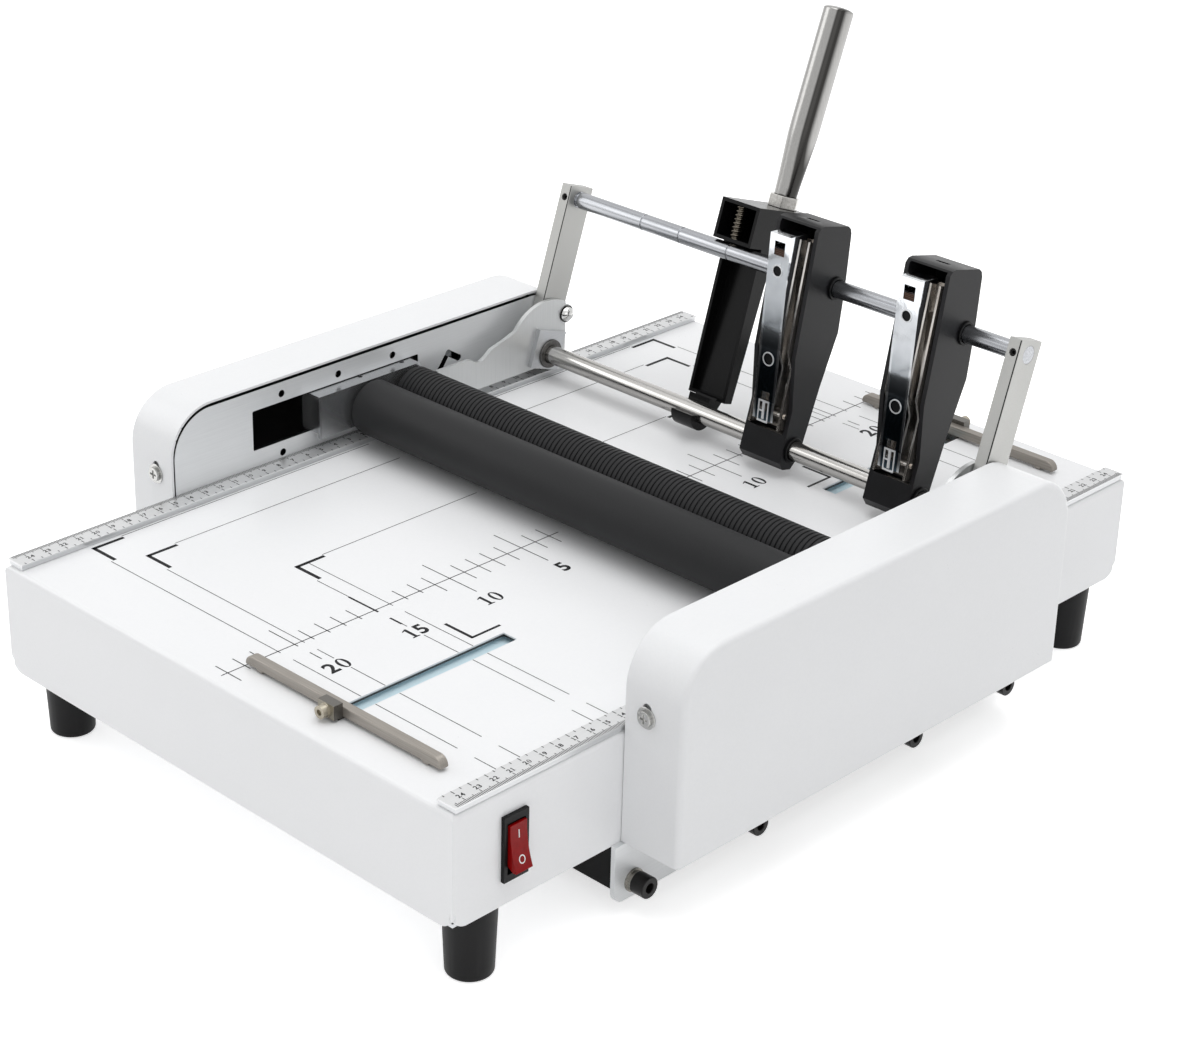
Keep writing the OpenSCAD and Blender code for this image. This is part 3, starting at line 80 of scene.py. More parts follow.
@dataclass
class Wiring:
    """Adds nodes to one node tree and links them."""

    tree: bpy.types.NodeTree

    def add(self, kind: str, mode: object = None, **values: object) -> bpy.types.Node:
        """Adds a shader node.

        Args:
            kind: Its type, without the leading ShaderNode.
            mode: Its operation, a mix node's kind of data or a group node's tree.
            values: Values of its inputs, with _ for a space.

        Returns:
            The node.
        """
        node = self.tree.nodes.new(f"ShaderNode{kind}")
        if mode is not None:
            setattr(node, {"Mix": "data_type", "Group": "node_tree"}.get(kind, "operation"), mode)
        for name, value in values.items():
            node.inputs[name.replace("_", " ")].default_value = value
        return node

    def link(self, *ends: tuple) -> None:
        """Links outputs to inputs.

        Args:
            ends: Rows of node, output, node and input.
        """
        for start, out, end, into in ends:
            self.tree.links.new(start.outputs[out], end.inputs[into])

    def by_sight(self, hidden: tuple, seen: tuple, end: bpy.types.Node) -> None:
        """Shows one shader to the camera, straight or by mirrors or glass, and another to the other rays.

        Args:
            hidden: Node and output of the shader for the other rays.
            seen: Node and output of the shader that the camera sees.
            end: The tree's output node.
        """
        path, pick = self.add("LightPath"), self.add("MixShader")
        two, three = self.add("Math", "MAXIMUM"), self.add("Math", "MAXIMUM")
        self.link((path, "Is Camera Ray", two, 0), (path, "Is Glossy Ray", two, 1),
                  (two, "Value", three, 0), (path, "Is Transmission Ray", three, 1),
                  (three, "Value", pick, "Fac"), (*hidden, pick, 1), (*seen, pick, 2),
                  (pick, "Shader", end, "Surface"))


def group_tree(name: str, given: dict, made: dict) -> tuple:
    """Makes an empty node group.

    Args:
        name: The group's name.
        given: Kind of each input.
        made: Kind of each output.

    Returns:
        Its wiring, its input node and its output node.
    """
    tree = bpy.data.node_groups.new(name, "ShaderNodeTree")
    for way, sockets in (("INPUT", given), ("OUTPUT", made)):
        for socket, kind in sockets.items():
            tree.interface.new_socket(socket, in_out=way, socket_type=f"NodeSocket{kind}")
    return Wiring(tree), tree.nodes.new("NodeGroupInput"), tree.nodes.new("NodeGroupOutput")


@dataclass(frozen=True)
class Zone:
    """A box in which a finish takes another tone.

    Args:
        tone: The colour inside, linear red, green, blue.
        low: The box's low corner in metres.
        high: The box's high corner.
        blur: Depth below the box's faces over which the tone fades in, along X, Y and Z.
    """

    tone: tuple[float, float, float]
    low: tuple[float, float, float]
    high: tuple[float, float, float]
    blur: tuple[float, float, float]


@dataclass(frozen=True)
class Finish:
    """One surface finish: its two close tones and how its fine marks look.

    Args:
        name: The material's name.
        tone: The main colour, linear red, green, blue.
        second: The colour that the fine marks drift towards.
        rough: Lowest and highest roughness over the surface.
        metal: How metallic the surface is.
        grain: Which way the fine marks run.
        scale: Marks per metre.
        depth: Height of the marks in micrometres.
        coat: Weight of a clear layer.
        coat_rough: Roughness of the clear layer.
        specular: Strength of the plain reflection.
        zones: Boxes that take another tone.
    """

    name: str
    tone: tuple[float, float, float]
    second: tuple[float, float, float]
    rough: tuple[float, float]
    metal: float = 0.0
    grain: Grain = Grain.EVEN
    scale: float = 900.0
    depth: float = 20.0
    coat: float = 0.0
    coat_rough: float = 0.1
    specular: float = 0.5
    zones: tuple[Zone, ...] = ()

    @cache
    def make(self) -> bpy.types.Material:
        """Builds the node material of this finish.

        Returns:
            The material, built once and reused.
        """
        mat = bpy.data.materials.new(f"{self.name}_finish")
        mat.use_nodes = True
        wires, shader = Wiring(mat.node_tree), mat.node_tree.nodes["Principled BSDF"]
        for name, value in (("Metallic", self.metal), ("Coat Weight", self.coat),
                            ("Coat Roughness", self.coat_rough), ("Specular IOR Level", self.specular)):
            shader.inputs[name].default_value = value
        place, turn = wires.add("TexCoord"), wires.add("Mapping", Scale=self.grain.value)
        marks = wires.add("Group", marks_group(), Scale=self.scale, Low=self.rough[0], High=self.rough[1],
                          Tone=(*self.tone, 1.0), Second=(*self.second, 1.0))
        bump = wires.add("Bump", Distance=self.depth * MICRON)
        last = marks
        for zone in self.zones:
            low, high = np.array(zone.low), np.array(zone.high)
            part = wires.add("Group", zone_group(), Centre=(low + high) / 2, Half=(high - low) / 2,
                             Blur=zone.blur, Tone=(*zone.tone, 1.0))
            wires.link((place, "Object", part, "Vector"), (last, "Colour", part, "Colour"))
            last = part
        wires.link((place, "Object", turn, "Vector"), (turn, "Vector", marks, "Vector"),
                   (last, "Colour", shader, "Base Color"), (marks, "Roughness", shader, "Roughness"),
                   (marks, "Height", bump, "Height"), (bump, "Normal", shader, "Normal"))
        return mat


@cache
def marks_group() -> bpy.types.NodeTree:
    """Builds the shared group of fine marks: two sizes of noise that drive tone, roughness and height.

    Returns:
        The node group, built once.
    """
    wires, come, go = group_tree(
        "fine_marks",
        {"Vector": "Vector", "Scale": "Float", "Low": "Float", "High": "Float", "Tone": "Color",
         "Second": "Color"},
        {"Colour": "Color", "Roughness": "Float", "Height": "Float"})
    fine, broad = wires.add("TexNoise", Detail=4.0), wires.add("TexNoise", Scale=14.0, Detail=3.0)
    both, half = wires.add("Math", "ADD"), wires.add("Math", "MULTIPLY")
    half.inputs[1].default_value = 0.5
    rough, spread = (wires.add("MapRange", From_Min=low, From_Max=high)
                     for low, high in ((0.25, 0.75), (0.3, 0.7)))
    tint = wires.add("Mix", "RGBA")
    wires.link((come, "Vector", fine, "Vector"), (come, "Scale", fine, "Scale"),
               (come, "Vector", broad, "Vector"), (fine, "Fac", both, 0), (broad, "Fac", both, 1),
               (both, "Value", half, 0), (half, "Value", rough, "Value"), (come, "Low", rough, "To Min"),
               (come, "High", rough, "To Max"), (half, "Value", spread, "Value"),
               (spread, "Result", tint, "Factor"), (come, "Tone", tint, "A"), (come, "Second", tint, "B"),
               (tint, "Result", go, "Colour"), (rough, "Result", go, "Roughness"),
               (fine, "Fac", go, "Height"))
    return wires.tree


@cache
def zone_group() -> bpy.types.NodeTree:
    """Builds the shared group that gives another tone inside a box, fading in below its faces.

    Returns:
        The node group, built once.
    """
    wires, come, go = group_tree(
        "zone_tone",
        {"Vector": "Vector", "Colour": "Color", "Tone": "Color", "Centre": "Vector", "Half": "Vector",
         "Blur": "Vector"},
        {"Colour": "Color"})
    offset, size, room, share = (wires.add("VectorMath", mode)
                                 for mode in ("SUBTRACT", "ABSOLUTE", "SUBTRACT", "DIVIDE"))
    split, mask, tint = wires.add("SeparateXYZ"), wires.add("MapRange"), wires.add("Mix", "RGBA")
    two, least = wires.add("Math", "MINIMUM"), wires.add("Math", "MINIMUM")
    wires.link((come, "Vector", offset, 0), (come, "Centre", offset, 1), (offset, "Vector", size, 0),
               (come, "Half", room, 0), (size, "Vector", room, 1), (room, "Vector", share, 0),
               (come, "Blur", share, 1), (share, "Vector", split, "Vector"), (split, "X", two, 0),
               (split, "Y", two, 1), (two, "Value", least, 0), (split, "Z", least, 1),
               (least, "Value", mask, "Value"), (mask, "Result", tint, "Factor"),
               (come, "Colour", tint, "A"), (come, "Tone", tint, "B"), (tint, "Result", go, "Colour"))
    return wires.tree


def both_sides(axis: int, tone: tuple, low: tuple, high: tuple, blur: tuple) -> tuple:
    """Gives a zone and its mirror image across the middle.

    Args:
        axis: 0 to mirror along X, 1 along Y.
        tone: The colour inside.
        low: Low corner of the zone on the positive side.
        high: Its high corner.
        blur: Depth over which its tone fades in.

    Returns:
        Both zones.
    """
    other_low, other_high = list(low), list(high)
    other_low[axis], other_high[axis] = -high[axis], -low[axis]
    return Zone(tone, low, high, blur), Zone(tone, tuple(other_low), tuple(other_high), blur)


DARK = (0.003, 0.003, 0.0032)
FAR = 0.6
CRISP = (0.0001, 0.0001, 0.0001)
# The x of each stapler's middle.
STAPLER_MIDDLES = {"left": 0.0217, "right": 0.1077}
# Half length and top of each step of the painted shade that colours the hollow inside a cover's rounded
# outline near black.
COVER_STEPS = ((0.1175, 0.1452), (0.130, 0.1419), (0.137, 0.1370), (0.141, 0.1310), (0.1432, 0.119))
COVER_PAINTED_SHADE = tuple(zone for y, z in COVER_STEPS
                     for zone in both_sides(0, DARK, (0.1620, -y, 0.03), (0.1967, y, z), CRISP))
# Painted reflection: each magazine's chrome turns dark towards its lower part, standing in for a darker
# mirrored surround.
CHROME_PAINTED_REFLECTION = tuple(
    Zone((0.07, 0.10, 0.125), (x - 0.0058, 0.0, 0.05), (x + 0.0058, FAR, 0.196), (0.0006, 0.001, 0.034))
    for x in STAPLER_MIDDLES.values()
)
# Painted shade: the walls of each stop slot, below the deck, are coloured dark.
SLOT_PAINTED_SHADE = both_sides(1, (0.03, 0.032, 0.034), (0.0580, 0.1184, 0.085), (0.0676, 0.2312, 0.0958),
                        (0.0001, 0.0001, 0.0002))
WASHER_RINGS = both_sides(0, (0.02, 0.019, 0.017), (0.15030, 0.120, 0.120), (0.15125, 0.150, 0.145), CRISP)
CARRIER_SHADE = both_sides(0, (0.07, 0.07, 0.073), (0.150, -0.0516, 0.10), (0.1625, -0.0498, 0.1296),
                           (0.011, 0.0004, 0.0006))
PLATE_EDGES = both_sides(0, DARK, (0.1628, -0.2, 0.0386), (0.1660, 0.2, 0.2), CRISP)
ROD_SHADE = Zone((0.12, 0.115, 0.105), (-FAR, 0.0, 0.0), (FAR, FAR, 0.1135), (0.001, 0.001, 0.010))
# Painted reflection: a dark upright streak down the right side of the handle tube.
HANDLE_PAINTED_REFLECTION = Zone((0.045, 0.044, 0.042), (-0.0326, -FAR, 0.20), (-0.0283, FAR, FAR),
                   (0.0009, 0.001, 0.001))
CLAMP_ENDS = both_sides(1, (0.42, 0.385, 0.31), (0.0, 0.2343, 0.0), (0.2, 0.4, 0.2),
                        (0.0002, 0.0002, 0.0002))
# The table's white carries the painted shade in the stop slots.
POWDER_WHITE = Finish(
    "powder_white", (0.88, 0.885, 0.895), (0.85, 0.858, 0.868), (0.26, 0.36), scale=700.0, depth=15.0,
    coat=0.1, coat_rough=0.25, specular=0.35, zones=SLOT_PAINTED_SHADE)
# The cover's white carries painted shade in its hollow.
COVER_WHITE = replace(
    POWDER_WHITE, name="cover_white", tone=(0.845, 0.852, 0.862), second=(0.815, 0.824, 0.834),
    zones=COVER_PAINTED_SHADE)
PLATE_SATIN = Finish(
    "plate_satin", (0.80, 0.815, 0.825), (0.73, 0.745, 0.755), (0.30, 0.42), 0.25, Grain.ALONG_Y, 1800.0,
    4.0, zones=PLATE_EDGES)
SHEET_STEEL = Finish(
    "sheet_steel", (0.58, 0.59, 0.60), (0.50, 0.51, 0.53), (0.30, 0.42), 0.9, Grain.ALONG_Y, 1500.0, 4.0)
CARRIER_STEEL = Finish(
    "carrier_steel", (0.60, 0.61, 0.62), (0.48, 0.49, 0.51), (0.18, 0.30), 0.9, Grain.ALONG_Y, 2200.0,
    4.0, zones=CARRIER_SHADE)
CHEEK_STEEL = Finish(
    "cheek_steel", (0.68, 0.69, 0.69), (0.60, 0.61, 0.61), (0.26, 0.38), 0.7, Grain.ALONG_Z, 1600.0, 4.0)
RULE_STEEL = Finish(
    "rule_steel", (0.73, 0.735, 0.74), (0.63, 0.635, 0.64), (0.30, 0.42), 0.7, Grain.ALONG_Y, 2600.0, 3.0)
BED_METAL = Finish(
    "bed_metal", (0.66, 0.67, 0.68), (0.58, 0.59, 0.60), (0.25, 0.38), 0.6, Grain.ALONG_Y, 1200.0, 4.0)
BLASTED = Finish(
    "blasted_aluminium", (0.485, 0.485, 0.471), (0.41, 0.41, 0.396), (0.34, 0.50), 0.75, Grain.EVEN,
    3600.0, 10.0)
GROUND_ROD = Finish(
    "ground_rod", (0.55, 0.56, 0.58), (0.31, 0.32, 0.34), (0.16, 0.30), 1.0, Grain.ALONG_X, 900.0, 6.0)
BRIGHT_ROD = Finish(
    "bright_rod", (0.68, 0.67, 0.65), (0.40, 0.39, 0.375), (0.12, 0.24), 1.0, Grain.ALONG_X, 700.0, 6.0,
    zones=(ROD_SHADE,))
# The handle's metal carries the painted reflection streak.
HANDLE_METAL = Finish(
    "handle_metal", (0.42, 0.415, 0.405), (0.30, 0.296, 0.288), (0.16, 0.26), 1.0, Grain.ALONG_Z, 2400.0,
    3.0, zones=(HANDLE_PAINTED_REFLECTION,))
NUT_METAL = Finish(
    "nut_metal", (0.56, 0.55, 0.53), (0.34, 0.33, 0.31), (0.14, 0.26), 1.0, Grain.EVEN, 700.0, 10.0)
# The magazine chrome carries the painted reflection.
MIRROR_CHROME = Finish(
    "mirror_chrome", (0.80, 0.82, 0.84), (0.62, 0.64, 0.67), (0.03, 0.09), 1.0, Grain.EVEN, 160.0, 20.0,
    zones=CHROME_PAINTED_REFLECTION)
CHANNEL_CHROME = Finish(
    "channel_chrome", (0.80, 0.78, 0.75), (0.42, 0.36, 0.30), (0.08, 0.16), 0.9, Grain.ALONG_Z, 260.0,
    30.0)
SCREW_CHROME = Finish(
    "screw_chrome", (0.56, 0.56, 0.55), (0.38, 0.38, 0.37), (0.14, 0.26), 1.0, depth=10.0)
STOP_BOLT = Finish(
    "stop_bolt", (0.70, 0.70, 0.69), (0.50, 0.50, 0.49), (0.12, 0.22), 1.0, depth=10.0, zones=WASHER_RINGS)
WASHER_STEEL = Finish(
    "washer_steel", (0.36, 0.35, 0.32), (0.22, 0.21, 0.19), (0.2, 0.34), 1.0, depth=10.0)
BAR_STEEL = Finish(
    "bar_steel", (0.40, 0.37, 0.335), (0.24, 0.22, 0.195), (0.30, 0.44), 0.6, Grain.ALONG_X, 2600.0, 8.0)
BRONZE = Finish(
    "bush_bronze", (0.30, 0.22, 0.12), (0.12, 0.09, 0.055), (0.25, 0.40), 1.0, Grain.EVEN, 1600.0, 10.0)
SPRING_STEEL = Finish(
    "spring_steel", (0.22, 0.20, 0.17), (0.07, 0.06, 0.045), (0.2, 0.36), 1.0, depth=10.0)
SATIN_BLACK = Finish(
    "satin_black", (0.0026, 0.0026, 0.0028), (0.005, 0.005, 0.0054), (0.20, 0.30), depth=2.0,
    specular=0.16)
TRAY_BLACK = Finish(
    "tray_black", (0.004, 0.004, 0.0042), (0.007, 0.007, 0.0074), (0.36, 0.5), scale=1200.0, depth=6.0,
    specular=0.08)
HOUSING_BLACK = Finish(
    "housing_black", (0.0075, 0.0075, 0.0084), (0.013, 0.013, 0.0143), (0.30, 0.42), scale=2400.0,
    depth=8.0, specular=0.23)
BEZEL_BLACK = Finish(
    "bezel_black", (0.003, 0.003, 0.0032), (0.006, 0.006, 0.0064), (0.3, 0.42), scale=1600.0, depth=6.0,
    specular=0.15)
BLACK_OXIDE = Finish(
    "black_oxide", (0.006, 0.006, 0.0064), (0.014, 0.0135, 0.013), (0.28, 0.42), 0.2, Grain.EVEN, 1500.0,
    10.0, specular=0.25)
CLAMP_BLACK = Finish(
    "clamp_black", (0.13, 0.125, 0.115), (0.19, 0.18, 0.165), (0.24, 0.38), 0.8, Grain.EVEN, 1500.0, 10.0,
    specular=0.3, zones=CLAMP_ENDS)
FOOT_RUBBER = Finish(
    "foot_rubber", (0.006, 0.006, 0.0064), (0.011, 0.011, 0.0115), (0.40, 0.55), scale=1600.0, depth=10.0,
    specular=0.16)
ROLLER_RUBBER = Finish(
    "roller_rubber", (0.017, 0.0172, 0.018), (0.026, 0.0264, 0.0276), (0.46, 0.60), scale=2600.0,
    depth=10.0, specular=0.16)
NYLON = Finish("white_nylon", (0.78, 0.78, 0.76), (0.70, 0.70, 0.68), (0.35, 0.48), depth=10.0)
BUSHING_STEEL = Finish(
    "bushing_steel", (0.16, 0.155, 0.15), (0.07, 0.068, 0.065), (0.25, 0.4), 0.9, depth=10.0)
ACETAL = Finish("gear_acetal", (0.56, 0.52, 0.44), (0.48, 0.45, 0.38), (0.35, 0.48))
SWITCH_RED = Finish(
    "switch_red", (0.30, 0.002, 0.003), (0.20, 0.0015, 0.002), (0.16, 0.26), scale=400.0, depth=4.0,
    coat=0.04, coat_rough=0.08, specular=0.12)
TAB_CHROME = Finish(
    "tab_chrome", (0.84, 0.85, 0.86), (0.66, 0.68, 0.70), (0.10, 0.18), 0.35, Grain.EVEN, 700.0, 30.0)
MARK_WHITE = Finish(
    "mark_white", (0.85, 0.85, 0.84), (0.78, 0.78, 0.77), (0.4, 0.5), scale=1200.0, depth=2.0)
INK = Finish(
    "print_ink", (0.010, 0.010, 0.011), (0.024, 0.024, 0.026), (0.45, 0.6), scale=1500.0, depth=1.0,
    specular=0.12)
THIN_INK = replace(INK, name="thin_ink", tone=(0.020, 0.020, 0.021), second=(0.04, 0.04, 0.042))
RULE_INK = replace(THIN_INK, name="rule_ink", tone=(0.022, 0.022, 0.023))
CHANNEL_PAINT = Finish("channel_paint", (0.66, 0.82, 0.88), (0.60, 0.75, 0.82), (0.3, 0.45))
BOARD_GREEN = Finish("board_green", (0.03, 0.12, 0.06), (0.02, 0.08, 0.04), (0.3, 0.45))
STAPLE_BROWN = Finish(
    "staple_brown", (0.10, 0.055, 0.035), (0.035, 0.016, 0.010), (0.25, 0.4), 0.6, Grain.ALONG_X, 1800.0,
    10.0)


# Limits for sharp edges: with the first all faces look flat, with the second all look smooth.
FLAT, SMOOTH = 0.0, 180.0
# A softened node's edges are rounded where their faces turn by more than this.
EDGE_TURN = math.radians(32.0)
# Faces that turn by less than this, and points that lie closer than this, become one.
PLANE_TURN = math.radians(0.8)
WELD = 2e-6


def add_mesh(name: str, points: np.ndarray, faces: list, body: str, finish: Finish,
             sharp: float = FLAT) -> bpy.types.Object:
    """Makes one riding piece out of whole arrays.

    Args:
        name: The piece's name.
        points: Vertex places, one row each.
        faces: Vertex numbers of each face.
        body: The body it rides on.
        finish: Its finish.
        sharp: Edges turned by more degrees than this look sharp, in a smooth piece.

    Returns:
        The new object.
    """
    mesh = bpy.data.meshes.new(name)
    mesh.from_pydata(np.asarray(points, dtype=float).tolist(), [], [list(map(int, f)) for f in faces])
    mesh.polygons.foreach_set("use_smooth", [sharp > FLAT] * len(mesh.polygons))
    if FLAT < sharp < SMOOTH:
        mesh.set_sharp_from_angle(angle=math.radians(sharp))
    mesh.materials.append(finish.make())
    obj = bpy.data.objects.new(name, mesh)
    bpy.context.scene.collection.objects.link(obj)
    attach(obj, body)
    LOG.info("%s: %d faces on %s", name, len(mesh.polygons), body)
    return obj


def closed(rows: int, around: int) -> list:
    """Numbers the quads between rings of points, ring after ring, and the two faces that close the ends.

    Args:
        rows: Count of rings.
        around: Count of points in a ring.

    Returns:
        The vertex numbers of each face.
    """
    r, c = (part.ravel() for part in np.meshgrid(np.arange(rows - 1), np.arange(around), indexing="ij"))
    after = (c + 1) % around
    quads = np.stack([c, after, after + around, c + around], axis=1) + r[:, None] * around
    first = list(range(around - 1, -1, -1))
    last = [(rows - 1) * around + i for i in range(around)]
    return quads.tolist() + [first, last]


def turned(profile: np.ndarray, start: np.ndarray, axis: np.ndarray, segments: int) -> tuple:
    """Turns a profile of (radius, distance) rows round an axis, closed at both ends by small rings.

    Args:
        profile: Rows of radius and distance along the axis, from the start to the end.
        start: Where distance 0 lies.
        axis: The axis direction.
        segments: Points round the axis.

    Returns:
        Vertex places and faces with their normals outwards.
    """
    axis = np.asarray(axis, float) / np.linalg.norm(axis)
    side = np.cross(axis, [0.0, 0.0, 1.0])
    if np.linalg.norm(side) < 1e-6:
        side = np.cross(axis, [0.0, 1.0, 0.0])
    side /= np.linalg.norm(side)
    other = np.cross(axis, side)
    angle = np.linspace(0, 2 * np.pi, segments, endpoint=False)
    circle = np.outer(np.cos(angle), side) + np.outer(np.sin(angle), other)
    points = (np.asarray(start) + profile[:, None, 1:2] * axis + profile[:, None, 0:1] * circle[None])
    return points.reshape(-1, 3), closed(len(profile), segments)


def rounded(profile: list, radius: float, steps: int = 4) -> np.ndarray:
    """Rounds the inner corners of an open profile, each by an arc worked out from its two sides.

    Args:
        profile: Rows of radius and distance.
        radius: How far from a corner its arc starts.
        steps: Points on each arc.

    Returns:
        The profile with its corners rounded.
    """
    p = np.asarray(profile, float)
    out = [p[:1]]
    t = np.linspace(0, 1, steps)[:, None]
    for before, corner, after in zip(p[:-2], p[1:-1], p[2:]):
        reach = min(radius, np.linalg.norm(before - corner) * 0.45, np.linalg.norm(after - corner) * 0.45)
        a = corner + (before - corner) / np.linalg.norm(before - corner) * reach
        b = corner + (after - corner) / np.linalg.norm(after - corner) * reach
        out.append((1 - t) ** 2 * a + 2 * t * (1 - t) * corner + t ** 2 * b)
    out.append(p[-1:])
    return np.concatenate(out)


def in_arm(points: np.ndarray) -> np.ndarray:
    """Places points given as x, distance behind the rods and height up the arms.

    Args:
        points: Rows of x, n and u.

    Returns:
        The same points in the frame.
    """
    p = np.asarray(points, float)
    c, s = math.cos(LEAN), math.sin(LEAN)
    return np.stack([p[:, 0], PIVOT[1] + p[:, 1] * c + p[:, 2] * s,
                     PIVOT[2] - p[:, 1] * s + p[:, 2] * c], axis=1)


def soften(node: str, finish: Finish, width: float, segments: int,
           wide: Callable[[np.ndarray], np.ndarray] | None = None) -> None:
    """Replaces a node by its own shape with rounded edges.

    Args:
        node: The node.
        finish: The piece's finish.
        width: How far from an edge its rounding starts.
        segments: Faces across a rounding.
        wide: Gives each edge's share of the width from the places of its two ends, or None.
    """
    mesh = frame["nodes"][node].data.copy()
    mesh.name = f"{node}_soft"
    work = bmesh.new()
    work.from_mesh(mesh)
    bmesh.ops.remove_doubles(work, verts=work.verts, dist=WELD)
    bmesh.ops.dissolve_limit(work, angle_limit=PLANE_TURN, verts=work.verts, edges=work.edges)
    if wide is not None:
        layer = work.edges.layers.float.new("bevel_weight_edge")
        ends = np.array([[v.co for v in edge.verts] for edge in work.edges])
        turn = np.array([edge.calc_face_angle(0.0) for edge in work.edges])
        share = np.where(turn > EDGE_TURN, wide(ends), 0.0)
        for edge, weight in zip(work.edges, share):
            edge[layer] = float(weight)
    work.to_mesh(mesh)
    work.free()
    mesh.materials.clear()
    mesh.materials.append(finish.make())
    mesh.polygons.foreach_set("use_smooth", [True] * len(mesh.polygons))
    mesh.set_sharp_from_angle(angle=EDGE_TURN)
    obj = bpy.data.objects.new(f"{node}_soft", mesh)
    bpy.context.scene.collection.objects.link(obj)
    bevel = obj.modifiers.new("rounding", "BEVEL")
    bevel.width = width
    bevel.segments = segments
    bevel.limit_method = "ANGLE" if wide is None else "WEIGHT"
    bevel.angle_limit = EDGE_TURN
    bevel.use_clamp_overlap = True
    bevel.harden_normals = True
    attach(obj, BODY_OF[node])
    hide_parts(node)
    LOG.info("%s softened by %.2f mm", node, width * 1000)


def dress(finish: Finish, *nodes: str) -> None:
    """Gives kept nodes their finish.

    Args:
        finish: The finish.
        nodes: The nodes.
    """
    for node in nodes:
        mesh = frame["nodes"][node].data
        mesh.materials.clear()
        mesh.materials.append(finish.make())
        LOG.info("%s dressed in %s", node, finish.name)


def patches(boxes: np.ndarray, height: float) -> tuple:
    """Lays flat patches given as rows of low x, high x, low y, high y at one height.

    Args:
        boxes: One row for each patch.
        height: Where they lie.

    Returns:
        Vertex places and faces that look up.
    """
    b = np.asarray(boxes, float)
    corners = np.stack([b[:, [0, 2]], b[:, [1, 2]], b[:, [1, 3]], b[:, [0, 3]]], axis=1)
    points = np.concatenate([corners, np.full((*corners.shape[:2], 1), height)], axis=2)
    return points.reshape(-1, 3), np.arange(4 * len(b)).reshape(-1, 4)


def boxed(rows: list) -> tuple:
    """Makes closed boxes from rows of low x, high x, low y, high y, low z, high z.

    Args:
        rows: One row for each box.

    Returns:
        Vertex places and faces with their normals outwards.
    """
    b = np.asarray(rows, float)
    pick = [[x, y, z] for z in (4, 5) for x, y in ((0, 2), (1, 2), (1, 3), (0, 3))]
    quad = np.array([[0, 3, 2, 1], [4, 5, 6, 7], [0, 1, 5, 4], [1, 2, 6, 5], [2, 3, 7, 6], [3, 0, 4, 7]])
    faces = (quad[None] + 8 * np.arange(len(b))[:, None, None]).reshape(-1, 4)
    return b[:, pick].reshape(-1, 3), faces.tolist()


def joined(parts: list) -> tuple:
    """Puts several meshes into one.

    Args:
        parts: Vertex places and faces of each.

    Returns:
        All vertex places and faces.
    """
    faces, count = [], 0
    for points, shape in parts:
        faces += [[v + count for v in face] for face in shape]
        count += len(points)
    return np.concatenate([points for points, _ in parts]), faces


def ring(start: np.ndarray, axis: np.ndarray, inner: float, outer: float, long: float) -> tuple:
    """Turns a flat-sided ring with slightly broken corners round an axis.

    Args:
        start: Middle of its first face.
        axis: Its axis direction.
        inner: Inner radius.
        outer: Outer radius.
        long: Length along the axis.

    Returns:
        Vertex places and faces with their normals outwards.
    """
    around = 48
    cut = min(long, outer - inner) * 0.2
    profile = np.array([(inner, 0.0), (outer - cut, 0.0), (outer, cut), (outer, long - cut),
                        (outer - cut, long), (inner, long)])
    points, faces = turned(profile, start, axis, around)
    return points, faces[:-2] + [face[::-1] for face in band(around, (len(profile) - 1) * around)]


def band(around: int, second: int) -> list:
    """Numbers the quads between the first ring of points and another.

    Args:
        around: Count of points in a ring.
        second: Number of the other ring's first point.

    Returns:
        Four vertex numbers for each quad.
    """
    return [[i, (i + 1) % around, second + (i + 1) % around, second + i] for i in range(around)]


